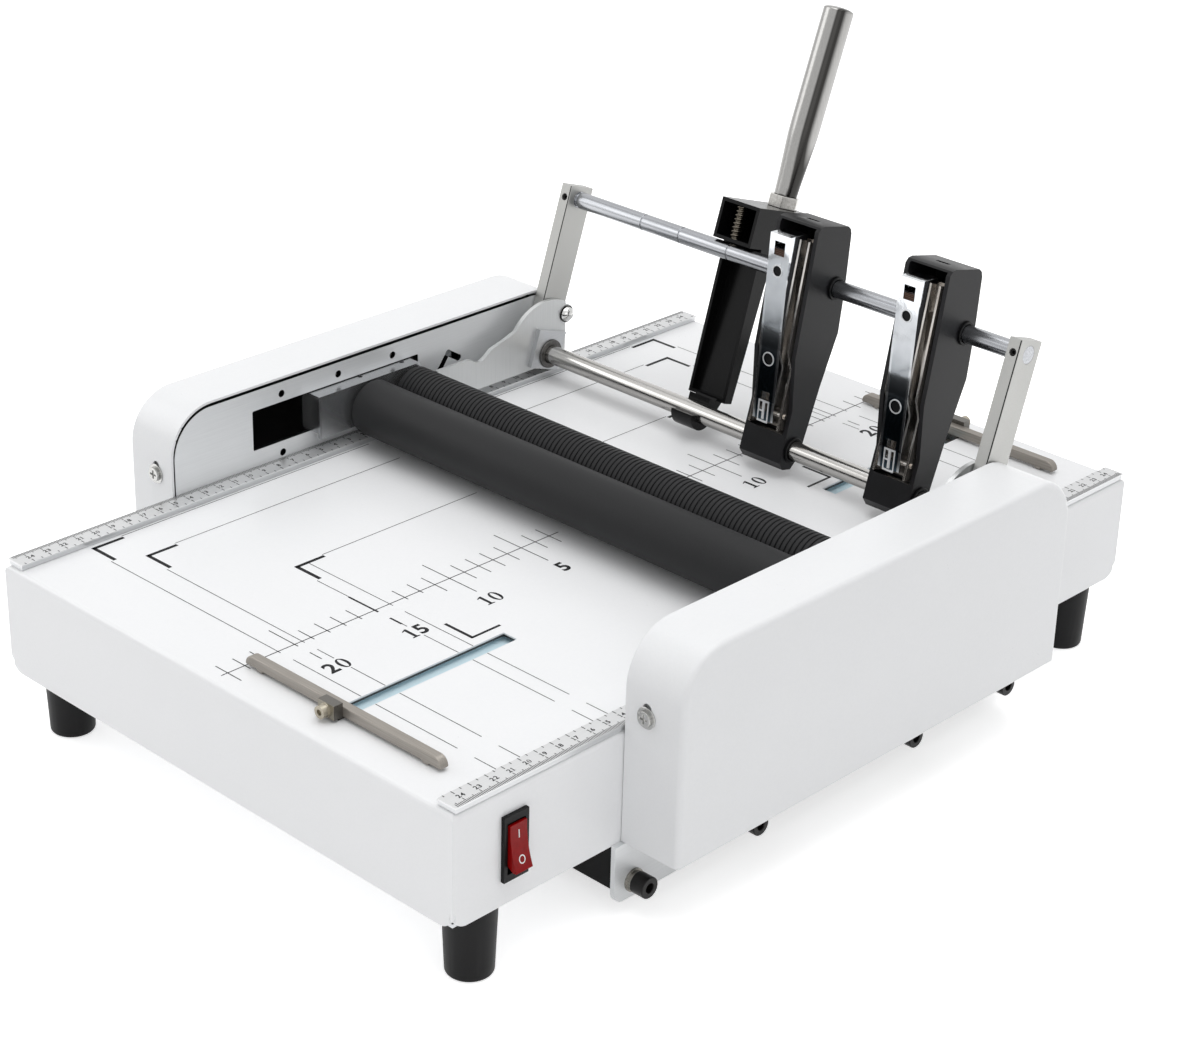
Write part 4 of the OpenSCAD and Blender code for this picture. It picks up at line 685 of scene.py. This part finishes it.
@dataclass
class Digits:
    """Flat plain digits, made once each and laid where they are wanted."""

    bold: float = 0.028
    gap: float = 0.16
    glyphs: dict = field(default_factory=dict)

    def glyph(self, sign: str) -> tuple:
        """Gives one sign as a flat mesh 1 high, starting at x = 0.

        Args:
            sign: The character.

        Returns:
            Its points, faces and width.
        """
        if sign not in self.glyphs:
            points, faces = self.drawn(sign) if sign in "01" else self.typed(sign)
            self.glyphs[sign] = (points, faces, points[:, 0].max())
        return self.glyphs[sign]

    def typed(self, sign: str) -> tuple:
        """Takes one sign from the built-in font.

        Args:
            sign: The character.

        Returns:
            Its points and faces.
        """
        curve = bpy.data.curves.new("sign", "FONT")
        curve.body = sign
        curve.resolution_u = 3
        curve.offset = self.bold
        holder = bpy.data.objects.new("sign", curve)
        bpy.context.scene.collection.objects.link(holder)
        mesh = bpy.data.meshes.new_from_object(holder)
        points = np.empty(len(mesh.vertices) * 3)
        mesh.vertices.foreach_get("co", points)
        points = points.reshape(-1, 3)[:, :2]
        points -= points.min(axis=0)
        faces = [list(p.vertices) for p in mesh.polygons]
        bpy.data.objects.remove(holder)
        bpy.data.meshes.remove(mesh)
        return points / points[:, 1].max(), faces

    def drawn(self, sign: str) -> tuple:
        """Draws one sign with thick and thin strokes.

        Args:
            sign: 1 for a footed stem, 0 for an upright oval.

        Returns:
            Its points and faces.
        """
        if sign == "1":
            stem = np.array([(0.0, 0.0), (0.50, 0.0), (0.50, 0.06), (0.35, 0.10), (0.35, 1.0), (0.26, 1.0),
                             (0.0, 0.87), (0.0, 0.80), (0.17, 0.86), (0.17, 0.10), (0.0, 0.06)])
            return stem, [list(range(len(stem)))]
        around = 40
        turn = np.linspace(0, 2 * np.pi, around, endpoint=False)
        wave = np.stack([np.cos(turn), np.sin(turn)], axis=1)
        outer, inner = np.array([0.31, 0.5]), np.array([0.135, 0.425])
        return np.concatenate([wave * outer, wave * inner]) + outer, band(around, around)

    def lay(self, items: list) -> tuple:
        """Lays many words flat, reading along +Y with their tops towards -X.

        Args:
            items: Rows of word, middle and height.

        Returns:
            Points and faces of them all.
        """
        parts = []
        for word, middle, tall in items:
            signs = [self.glyph(sign) for sign in word]
            at = -(sum(sign[2] for sign in signs) + self.gap * (len(signs) - 1)) / 2
            for flat, shape, wide in signs:
                spread = np.stack([0.5 - flat[:, 1], flat[:, 0] + at, np.zeros(len(flat))], axis=1)
                parts.append((np.asarray(middle) + tall * spread, shape))
                at += wide + self.gap
        return joined(parts)


@dataclass
class Table:
    """The white table with its rules, printed scales and feet."""

    rule_high: float = 0.1
    rule_outer: float = 0.1622
    rule_inner: float = 0.1506
    rule_numbers: float = 0.1558
    deck_numbers: float = 0.0283
    ink_lift: float = 0.00004
    line: float = 0.00030
    broad: float = 0.0022
    slot_x: float = 0.0628
    slot_half: float = 0.0049
    slot_ends: tuple[float, float] = (0.1180, 0.2320)
    digits: Digits = field(default_factory=Digits)

    def build(self) -> None:
        """Dresses the shell, the feet, the rules and the print."""
        soften("table_top", POWDER_WHITE, 0.0008, 3)
        soften("rubber_feet", FOOT_RUBBER, 0.0008, 3)
        soften("side_rules", RULE_STEEL, 0.0002, 2)
        soften("rule_beds", BED_METAL, 0.0003, 2)
        dress(SHEET_STEEL, "base_pan", "blade_posts", "fold_blade", "blade_plunger")
        dress(CHANNEL_PAINT, "slot_channels")
        dress(SATIN_BLACK, "blade_solenoid")
        dress(BOARD_GREEN, "control_board")
        dress(NYLON, "blade_slides")
        self.rule_marks()
        self.deck_print()

    def ticks(self, start: float, reach: np.ndarray, mm: np.ndarray, half: float) -> np.ndarray:
        """Gives a row of ticks as patches.

        Args:
            start: The x at which they start.
            reach: How far along X each goes from there.
            mm: Their places along Y in millimetres.
            half: Half their width.

        Returns:
            Rows of low x, high x, low y, high y.
        """
        end, y = start + reach, mm / 1000
        return np.stack([np.minimum(start, end), np.maximum(start, end), y - half, y + half], axis=1)

    def rule_marks(self) -> None:
        """Inks millimetre ticks and the plain numbers 1 to 24 each way from the middle."""
        rows, words = [], []
        mm = np.arange(-246, 247)
        tall = np.where(mm % 10 == 0, 0.0042, np.where(mm % 5 == 0, 0.0034, 0.0025))
        fives = mm[mm % 5 == 0]
        short = np.where(fives % 10 == 0, 0.0026, 0.0015)
        height = self.rule_high + self.ink_lift
        for side in (-1, 1):
            rows.append(self.ticks(side * self.rule_outer, -side * tall, mm, 0.0002))
            rows.append(self.ticks(side * self.rule_inner, side * short, fives, 0.00024))
            x = side * self.rule_numbers
            words += [(str(number), (x, way * (number / 100 - 0.001), height), 0.0028)
                      for number in range(1, 25) for way in (-1, 1)]
        for name, (points, faces) in (("rule_ticks", patches(np.concatenate(rows), height)),
                                      ("rule_numbers", self.digits.lay(words))):
            add_mesh(name, points, faces, "base", RULE_INK)

    def deck_print(self) -> None:
        """Prints the centre scale, the paper corner marks and the thin guide lines, on both halves."""
        line, fine, middle = self.line, self.line * 0.8, -0.001
        scale = (((28.8, 38.8, 58.7, 68.7, 78.6, 88.6, 108.6), ((-0.011, 0.008),)),
                 ((48.8, 98.6), ((-0.021, 0.0185),)),
                 ((118.6, 128.6, 158.6, 168.6, 178.6, 188.6), ((-0.0105, 0.0015),)),
                 ((198.8,), ((-0.020, 0.0015), (0.010, 0.0185))),
                 ((218.8, 229.0), ((-0.010, 0.003),)), ((239.2,), ((-0.010, 0.009),)))
        across = (((209.0,), ((-0.130, 0.001), (0.010, 0.122), (0.133, 0.1505))),
                  ((194.2,), ((-0.104, 0.001), (0.010, 0.022), (0.034, 0.122), (0.133, 0.1505))),
                  ((148.0,), ((-0.044, -0.020), (0.0185, 0.022), (0.034, 0.122), (0.133, 0.1505))),
                  ((138.5,), ((-0.063, 0.0015), (0.010, 0.122), (0.133, 0.1505))))
        thin = [(middle - line, middle + line, 0.022, 0.243)]
        thin += [(low, high, y / 1000 - half, y / 1000 + half)
                 for marks, half in ((scale, line), (across, fine))
                 for places, spans in marks for y in places for low, high in spans]
        bold = [(-0.020, 0.0015, 0.1476, 0.1488), (0.010, 0.0185, 0.1476, 0.1488),
                (0.0325, 0.0522, 0.1321, 0.1339), (0.0508, 0.0524, 0.1145, 0.1335)]
        for x, y, x_end, y_end, run in ((-0.1486, 0.2076, -0.130, 0.188, -0.1495),
                                        (-0.1235, 0.1928, -0.1045, 0.1735, -0.1245),
                                        (-0.0633, 0.1466, -0.0445, 0.1275, -0.064)):
            bold += [(x, x + self.broad, y_end, y), (x, x_end, y - self.broad, y)]
            thin.append((run - fine, run + fine, 0.020, y_end))
        height = DECK + self.ink_lift
        words = [(str(number), (self.deck_numbers, way * place, height), 0.0095) for way in (-1, 1)
                 for number, place in ((5, 0.0483), (10, 0.0983), (15, 0.148), (20, 0.198))]
        for name, (points, faces), ink in (
            ("guide_lines", patches(self.clear_of_slots(self.both_halves(thin)), height), THIN_INK),
            ("corner_marks", patches(self.both_halves(bold), height), INK),
            ("deck_numbers", self.digits.lay(words), INK),
        ):
            add_mesh(name, points, faces, "base", ink)

    def both_halves(self, rows: list) -> np.ndarray:
        """Adds to patches in the far half their mirror images in the near half.

        Args:
            rows: Rows of low x, high x, low y, high y.

        Returns:
            The rows of both halves.
        """
        far = np.array(rows)
        return np.concatenate([far[:, [0, 1, 3, 2]] * [1, 1, -1, -1], far])

    def clear_of_slots(self, lines: np.ndarray) -> np.ndarray:
        """Splits the lines that cross a stop slot, so that none hangs over it.

        Args:
            lines: Rows of low x, high x, low y, high y.

        Returns:
            The rows with the slots left free.
        """
        left, right = self.slot_x - self.slot_half, self.slot_x + self.slot_half
        middle = np.abs(lines[:, 2:].mean(axis=1))
        hit = ((middle > self.slot_ends[0]) & (middle < self.slot_ends[1])
               & (lines[:, 0] < left) & (lines[:, 1] > right))
        first, second = lines[hit].copy(), lines[hit].copy()
        first[:, 1], second[:, 0] = left, right
        return np.concatenate([lines[~hit], first, second])


@dataclass
class SideDrives:
    """Covers, side plates, cheek plates and the tray under the table."""

    screw: tuple[float, float, float] = (0.176, 0.1445, 0.109)
    flange_inner: float = 0.0039
    flange_outer: float = 0.0054
    flange_long: float = 0.0007

    def build(self) -> None:
        """Softens the sheet parts and dresses the small ones."""
        for side in SIDES:
            soften(f"{side}_cover", COVER_WHITE, 0.0004, 2)
            soften(f"{side}_side_plate", PLATE_SATIN, 0.00025, 2)
            soften(f"{side}_cheek_plate", CHEEK_STEEL, 0.0003, 2)
        soften("cover_screws", SCREW_CHROME, 0.0004, 3)
        soften("under_tray", TRAY_BLACK, 0.0005, 2)
        soften("leg_screws", BLACK_OXIDE, 0.0005, 3)
        soften("leg_washers", WASHER_STEEL, 0.0002, 2)
        soften("pivot_blocks", SHEET_STEEL, 0.0004, 2)
        soften("pivot_bushings", BUSHING_STEEL, 0.0004, 2)
        dress(STOP_BOLT, "arm_stop_bolts")
        self.flanges()

    def flanges(self) -> None:
        """Lays a thin bright ring under the head of each cover screw."""
        x, y, z = self.screw
        points, faces = joined([ring(np.array([side * x, end * y, z]), np.array([0.0, end, 0.0]),
                                     self.flange_inner, self.flange_outer, self.flange_long)
                                for side in (-1, 1) for end in (-1, 1)])
        add_mesh("cover_screw_flanges", points, faces, BODY_OF["cover_screws"], SCREW_CHROME,
                 30)


@dataclass
class FoldRollers:
    """The plain and the grooved roller with their carriage."""

    half: float = 0.1505
    height: float = 0.1172
    core_r: float = 0.0102
    smooth_y: float = -0.01575
    grooved_y: float = 0.0149
    smooth_r: float = 0.01555
    grooved_r: float = 0.0147
    pitch: float = 0.003
    groove: float = 0.0008
    deep: float = 0.0009

    def build(self) -> None:
        """Works out both rollers and dresses the carriage."""
        half, high = self.half, self.grooved_r
        smooth = [(self.core_r, -half), (self.smooth_r, -half), (self.smooth_r, half), (self.core_r, half)]
        self.roller("smooth_roller", rounded(smooth, 0.0006), self.smooth_y)
        count = int((2 * half - self.pitch) / self.pitch)
        rows = [(self.core_r, -half), (high, -half)]
        for i in range(count):
            x = -(count - 1) * self.pitch / 2 + i * self.pitch
            low_x, high_x = x - self.groove / 2, x + self.groove / 2
            rows += [(high, low_x), (high - self.deep, low_x), (high - self.deep, high_x), (high, high_x)]
        rows += [(high, half), (self.core_r, half)]
        self.roller("grooved_roller", rounded(rows, 0.0002, 2), self.grooved_y)
        dress(GROUND_ROD, "smooth_shaft", "grooved_shaft")
        dress(ACETAL, "smooth_gear", "grooved_gear")
        for side in SIDES:
            soften(f"{side}_carrier", CARRIER_STEEL, 0.0003, 2)
        soften("roller_bushes", BRONZE, 0.0004, 2)
        soften("roller_motor", TRAY_BLACK, 0.0006, 2)

    def roller(self, node: str, profile: np.ndarray, y: float) -> None:
        """Turns one roller's profile round its axis.

        Args:
            node: The node it stands for.
            profile: Rows of radius and x.
            y: Where its axis lies.
        """
        points, faces = turned(profile, np.array([0.0, y, self.height]), ACROSS, 96)
        obj = add_mesh(f"{node}_skin", points, faces, BODY_OF[node], ROLLER_RUBBER, 40)
        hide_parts(node)


@dataclass
class SwingFrame:
    """Arms, rods, cranks and links."""

    # Where the thin dark line on each arm's near face lies: its distance across, its ends up the arm and
    # the arms' right edges.
    seam_n: float = -0.00903
    seam_low: float = 0.004
    seam_high: float = 0.0970
    seam_right: tuple[float, float] = (-0.1542, 0.1618)

    def build(self) -> None:
        """Softens the arms and dresses the rods."""
        for side in SIDES:
            soften(f"{side}_arm", BLASTED, 0.0005, 3)
            soften(f"{side}_link", SHEET_STEEL, 0.0003, 2)
        soften("upper_rod", GROUND_ROD, 0.0003, 2)
        soften("lower_rod", BRIGHT_ROD, 0.0006, 2)
        soften("rod_cranks", SHEET_STEEL, 0.0003, 2)
        dress(BLACK_OXIDE, "grub_screws")
        self.arm_lines()

    def arm_lines(self) -> None:
        """Draws a thin dark line down each arm's near face, beside its right edge."""
        for side, right in zip(SIDES, self.seam_right):
            low, high = right - 0.0010, right - 0.0003
            rows = [[low, self.seam_n, self.seam_low], [high, self.seam_n, self.seam_low],
                    [high, self.seam_n, self.seam_high], [low, self.seam_n, self.seam_high]]
            add_mesh(f"{side}_arm_dark_line", in_arm(rows), [[0, 1, 2, 3]], "swing_frame", INK)


@dataclass
class LeverHandle:
    """The black bracket with its clamp screw and the bright tube."""

    bracket_x: float = -0.0365
    handle_n: float = 0.0325
    nut_top: float = 0.1252
    extra_lean: float = math.radians(2.5)
    grip_r: float = 0.0085
    grip_end: float = 0.1035
    screw_x: float = -0.038
    screw_ends: tuple[float, float] = (0.0956, 0.1158)
    screw_core: float = 0.0021
    screw_wave: float = 0.0010
    screw_turns: int = 9

    def build(self) -> None:
        """Softens the bracket and the nut, turns the tube and winds the clamp screw."""
        soften("handle_bracket", SATIN_BLACK, 0.0006, 3)
        soften("handle_nut", NUT_METAL, 0.0006, 3)
        self.tube()
        self.screw()

    def tube(self) -> None:
        """Turns the tube: a neck that swells to the full width, a long grip and a shallow dome."""
        grip = [(0.0064, 0.0), (0.0065, 0.0006), (0.0068, 0.008), (0.0076, 0.021), (0.0084, 0.033),
                (self.grip_r, 0.040), (self.grip_r, self.grip_end)]
        t = np.linspace(0, 1, 12) * 1.50
        dome = np.stack([self.grip_r * np.cos(t), self.grip_end + 0.0008 + 0.0021 * np.sin(t)], axis=1)
        lean = LEAN + self.extra_lean
        base = in_arm([[self.bracket_x, self.handle_n, self.nut_top]])[0]
        points, faces = turned(np.concatenate([rounded(grip, 0.004, 5), dome]), base,
                               np.array([0.0, math.sin(lean), math.cos(lean)]), 64)
        obj = add_mesh("handle_grip", points, faces, "handle", HANDLE_METAL, 35)
        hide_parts("handle_tube")

    def screw(self) -> None:
        """Winds the clamp screw: its radius rises and falls once a turn along a thin rod."""
        around, rows = 28, 10 * self.screw_turns + 1
        low, high = self.screw_ends
        angle = np.linspace(0, 2 * np.pi, around, endpoint=False)
        uu, aa = np.meshgrid(np.linspace(low, high, rows), angle, indexing="ij")
        wave = 0.5 + 0.5 * np.cos(2 * np.pi * ((uu - low) / (high - low) * self.screw_turns) - aa)
        radius = self.screw_core + self.screw_wave * wave
        points = np.stack([self.screw_x + radius * np.cos(aa), radius * np.sin(aa), uu], axis=2)
        obj = add_mesh("clamp_thread", in_arm(points.reshape(-1, 3)), closed(rows, around), "handle",
                       SPRING_STEEL, SMOOTH)
        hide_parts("clamp_screw")


@dataclass
class Stapler:
    """One stapler: its black housing, its chrome channel and its magazine."""

    side: str
    half: float = 0.0143
    tilt: float = math.radians(14.2)
    foot_n: float = -0.0091
    foot_u: float = 0.0171
    tab: tuple[float, float] = (-0.0062, -0.0057)
    wire: tuple[float, float, float, float] = (-0.0033, 0.0033, -0.0054, -0.0030)
    wire_v: tuple[float, float] = (0.0848, 0.0915)
    eye_deep: float = -0.0047
    eye_front: float = -0.0058
    eye_thick: float = 0.0003
    hub: float = 0.0001
    rods: tuple = ((0.0, 0.0054), (0.090, 0.0048))
    collar: tuple[float, float, float, float] = (0.00005, 0.00035, 0.0016, 0.0013)
    lip_n: float = -0.006
    lip_u: float = 0.0215
    cap_u: float = 0.1205
    heel_u: float = 0.002

    def build(self) -> None:
        """Rounds the housing, softens the chrome parts and fills the staple window."""
        soften(f"{self.side}_stapler_housing", HOUSING_BLACK, 0.0032, 4, self.corner_share)
        soften(f"{self.side}_stapler_arm", CHANNEL_CHROME, 0.0004, 3)
        soften(f"{self.side}_magazine", MIRROR_CHROME, 0.0005, 3)
        self.collars()
        self.window_parts()

    @property
    def middle(self) -> float:
        """The x of the stapler's middle."""
        return STAPLER_MIDDLES[self.side]

    def collars(self) -> None:
        """Sets a dark ring on the housing's right side round each rod."""
        gap, clear, reach, long = self.collar
        points, faces = joined([ring(in_arm([[self.middle + self.half + gap, 0.0, u]])[0], ACROSS,
                                     rod + clear, rod + reach, long) for u, rod in self.rods])
        add_mesh(f"{self.side}_collars", points, faces, f"{self.side}_stapler", BEZEL_BLACK,
                 30)

    def in_magazine(self, points: np.ndarray) -> np.ndarray:
        """Places points given as x from the middle, distance behind the magazine's axis and height on it.

        Args:
            points: Rows of x, m and v.

        Returns:
            The same points in the frame.
        """
        p = np.asarray(points, float)
        c, s = math.cos(self.tilt), math.sin(self.tilt)
        return in_arm(np.stack([self.middle + p[:, 0], p[:, 1] * c - p[:, 2] * s + self.foot_n,
                                p[:, 1] * s + p[:, 2] * c + self.foot_u], axis=1))

    def window_parts(self) -> None:
        """Lays brown wire in the square window, a black disc of painted shade inside each eye with a
        bright rim round it, and the tab.
        """
        wires = [(*self.wire, v, v + 0.00085) for v in np.arange(*self.wire_v, 0.001)]
        tab = [(*x, *self.tab, *v) for x, v in (
            ((-0.0036, -0.0029), (-0.0046, 0.0076)), ((0.0029, 0.0036), (-0.0046, 0.0076)),
            ((-0.0029, 0.0029), (0.0067, 0.0076)), ((-0.0007, 0.0009), (-0.0030, 0.0067)),
            ((-0.0029, -0.0007), (0.0012, 0.0020)), ((-0.0029, 0.0029), (-0.0046, -0.0036)))]
        start, end = self.in_magazine([[0, 0, 0], [0, -1, 0]])
        # Each eye is closed just inside by a black disc: painted shade standing for its dark inside.
        discs, rims, thick = [], [], self.eye_thick
        for v, radius in ((0.080, 0.0027), (0.031, 0.0031)):
            deep, front = self.in_magazine([[0, self.eye_deep, v], [0, self.eye_front, v]])
            flat = np.array([(self.hub, 0.0), (radius, 0.0), (radius, thick), (self.hub, thick)])
            discs.append(turned(flat, deep, end - start, 40))
            rims.append(ring(front, end - start, radius + 0.0001, radius + 0.0008, thick))
        wires, tab = ((self.in_magazine(points), faces) for points, faces in (boxed(wires), boxed(tab)))
        for name, (points, faces), finish in (
            ("staples", wires, STAPLE_BROWN), ("eye_shade_discs", joined(discs), BEZEL_BLACK),
            ("eye_rims", joined(rims), TAB_CHROME), ("tab", tab, TAB_CHROME),
        ):
            add_mesh(f"{self.side}_{name}", points, faces, f"{self.side}_magazine_body", finish)

    def corner_share(self, ends: np.ndarray) -> np.ndarray:
        """Rounds the housing's outer corners widely and the rest a little.

        Args:
            ends: The two end places of each edge.

        Returns:
            Each edge's share of the full width.
        """
        c, s = math.cos(LEAN), math.sin(LEAN)
        back, up = ends[..., 1] - PIVOT[1], ends[..., 2] - PIVOT[2]
        n, u = (back * c - up * s).mean(axis=1), (back * s + up * c).mean(axis=1)
        outer = (np.abs(ends[..., 0] - self.middle) > self.half - 0.0002).all(axis=1)
        across = np.abs(ends[:, 0, 0] - ends[:, 1, 0])
        same_side = across < 0.001
        lip = (~outer | ~same_side) & (u < self.lip_u) & (n < self.lip_n) & (across > 0.02)
        wide = outer & same_side & ((n > 0.0) | (u > self.cap_u) | (u < self.heel_u))
        most, much, little = 1.0, 0.72, 0.16
        return np.where(lip, most, np.where(wide, much, little))


@dataclass
class Stops:
    """The two sliding stop bars with their clamps."""

    def build(self) -> None:
        """Softens the bars and the clamps."""
        for end in ("near", "far"):
            soften(f"{end}_stop_bar", BAR_STEEL, 0.0006, 3)
            soften(f"{end}_stop_clamp", CLAMP_BLACK, 0.0003, 2)


@dataclass
class PowerSwitch:
    """The red rocker in its black bezel and the inlet at the far end."""

    axis_x: float = 0.1628
    y: float = -0.2135
    z: float = 0.0675
    tilt: float = math.radians(-10)
    face_out: float = 0.0040
    dish: float = 0.05666
    ink_lift: float = 0.00006

    def build(self) -> None:
        """Softens the bezel, dresses the inlet and lays the marks on the rocker."""
        soften("switch_body", BEZEL_BLACK, 0.0006, 3)
        soften("power_rocker", SWITCH_RED, 0.0004, 3)
        soften("power_inlet", HOUSING_BLACK, 0.0005, 2)
        self.marks()

    def marks(self) -> None:
        """Lays a white stroke and, below it, a ring on the rocker's dished face."""
        around = 32
        turn = np.linspace(0, 2 * np.pi, around, endpoint=False)
        outer, inner = (np.stack([wide * np.cos(turn), -6.2e-3 + tall * np.sin(turn)], axis=1)
                        for wide, tall in ((1.9e-3, 2.1e-3), (1.35e-3, 1.55e-3)))
        stroke = np.array([[-0.3e-3, 4.2e-3], [0.3e-3, 4.2e-3], [0.3e-3, 8.2e-3], [-0.3e-3, 8.2e-3]])
        flat = np.concatenate([outer, inner, stroke])
        faces = band(around, around) + [list(range(2 * around, len(flat)))]
        out = self.face_out + self.dish - np.sqrt(self.dish ** 2 - flat[:, 1] ** 2) + self.ink_lift
        c, s = math.cos(self.tilt), math.sin(self.tilt)
        points = np.stack([self.axis_x + out * c + flat[:, 1] * s, self.y + flat[:, 0],
                           self.z - out * s + flat[:, 1] * c], axis=1)
        add_mesh("rocker_marks", points, faces, "rocker", MARK_WHITE)


@dataclass
class Studio:
    """Camera, lights, floor and surroundings."""

    place: tuple[float, float, float] = (0.88696, -0.93027, 0.71877)
    right: tuple[float, float, float] = (0.71823, 0.69538, 0.02459)
    down: tuple[float, float, float] = (0.32029, -0.29902, -0.89889)
    lens: float = 82.39
    floor_reach: float = 6.0
    floor_glow: float = 0.62
    room_light: float = 0.62

    def build(self) -> None:
        """Sets up the view, the light and the floor."""
        self.camera()
        self.lights()
        self.floor()
        self.world()
        bpy.context.scene.view_settings.view_transform = "Standard"

    def camera(self) -> None:
        """Stands the camera where the photograph's vanishing lines put it."""
        data = bpy.data.cameras.new("view")
        data.lens = self.lens
        data.sensor_width = 36.0
        data.clip_end = 20.0
        cam = bpy.data.objects.new("view", data)
        right, down = Vector(self.right), Vector(self.down)
        back = right.cross(-down)
        turn = Matrix((right, -down, back)).transposed().to_4x4()
        cam.matrix_world = Matrix.Translation(self.place) @ turn
        bpy.context.scene.collection.objects.link(cam)
        bpy.context.scene.camera = cam

    def lights(self) -> None:
        """Hangs three large soft panels: above, at the left front and low at the right."""
        for name, spot, size, watts in (("top_panel", (0.1, 0.1, 1.9), 1.8, 18.5),
                                        ("left_panel", (-1.7, -0.9, 1.1), 1.2, 6.6),
                                        ("right_panel", (1.6, -1.2, 0.9), 1.0, 2.4)):
            data = bpy.data.lights.new(name, "AREA")
            data.shape = "SQUARE"
            data.size = size
            data.energy = watts
            lamp = bpy.data.objects.new(name, data)
            lamp.location = spot
            lamp.visible_camera = False
            aim = Vector((0.0, 0.0, 0.1)) - Vector(spot)
            lamp.rotation_euler = aim.to_track_quat("-Z", "Y").to_euler()
            bpy.context.scene.collection.objects.link(lamp)

    def floor(self) -> None:
        """Lays a wide pale floor that shows white and keeps a soft shadow."""
        mesh, reach = bpy.data.meshes.new("floor"), self.floor_reach
        mesh.from_pydata([(-reach, -reach, 0), (reach, -reach, 0), (reach, reach, 0), (-reach, reach, 0)],
                         [], [(0, 1, 2, 3)])
        mat = bpy.data.materials.new("pale_floor")
        mat.use_nodes = True
        wires = Wiring(mat.node_tree)
        paint, end = (mat.node_tree.nodes[name] for name in ("Principled BSDF", "Material Output"))
        paint.inputs["Roughness"].default_value = 0.9
        where, noise = wires.add("TexCoord"), wires.add("TexNoise", Scale=3.0)
        tone = wires.add("Mix", "RGBA", A=(0.93, 0.93, 0.93, 1), B=(0.95, 0.95, 0.95, 1))
        glow, both = wires.add("Emission", Strength=self.floor_glow), wires.add("AddShader")
        wires.link((where, "Object", noise, "Vector"), (noise, "Fac", tone, "Factor"),
                   (tone, "Result", paint, "Base Color"), (paint, "BSDF", both, 0),
                   (glow, "Emission", both, 1))
        wires.by_sight((paint, "BSDF"), (both, "Shader"), end)
        mesh.materials.append(mat)
        obj = bpy.data.objects.new("floor", mesh)
        bpy.context.scene.collection.objects.link(obj)

    def world(self) -> None:
        """Surrounds the object with a pale room that shows white behind it."""
        world = bpy.data.worlds.new("room")
        bpy.context.scene.world = world
        world.use_nodes = True
        wires = Wiring(world.node_tree)
        base, end = (world.node_tree.nodes[name] for name in ("Background", "World Output"))
        base.inputs["Strength"].default_value = self.room_light
        where, split, ramp = wires.add("TexCoord"), wires.add("SeparateXYZ"), wires.add("ValToRGB")
        for stop, tone in zip(ramp.color_ramp.elements, ((0.75, 0.75, 0.76, 1), (1, 1, 1, 1))):
            stop.color = tone
        white = wires.add("Background", Color=(1, 1, 1, 1))
        wires.link((where, "Generated", split, "Vector"), (split, "Z", ramp, "Fac"),
                   (ramp, "Color", base, "Color"))
        wires.by_sight((base, "Background"), (white, "Background"), end)


def main() -> None:
    """Builds every sub-assembly in order."""
    logging.basicConfig(level=logging.INFO, format="%(message)s")
    Studio().build()
    for part in (Table(), SideDrives(), FoldRollers(), SwingFrame(), LeverHandle(),
                 Stapler("left"), Stapler("right"), Stops(), PowerSwitch()):
        part.build()


if __name__ == "__main__":
    main()
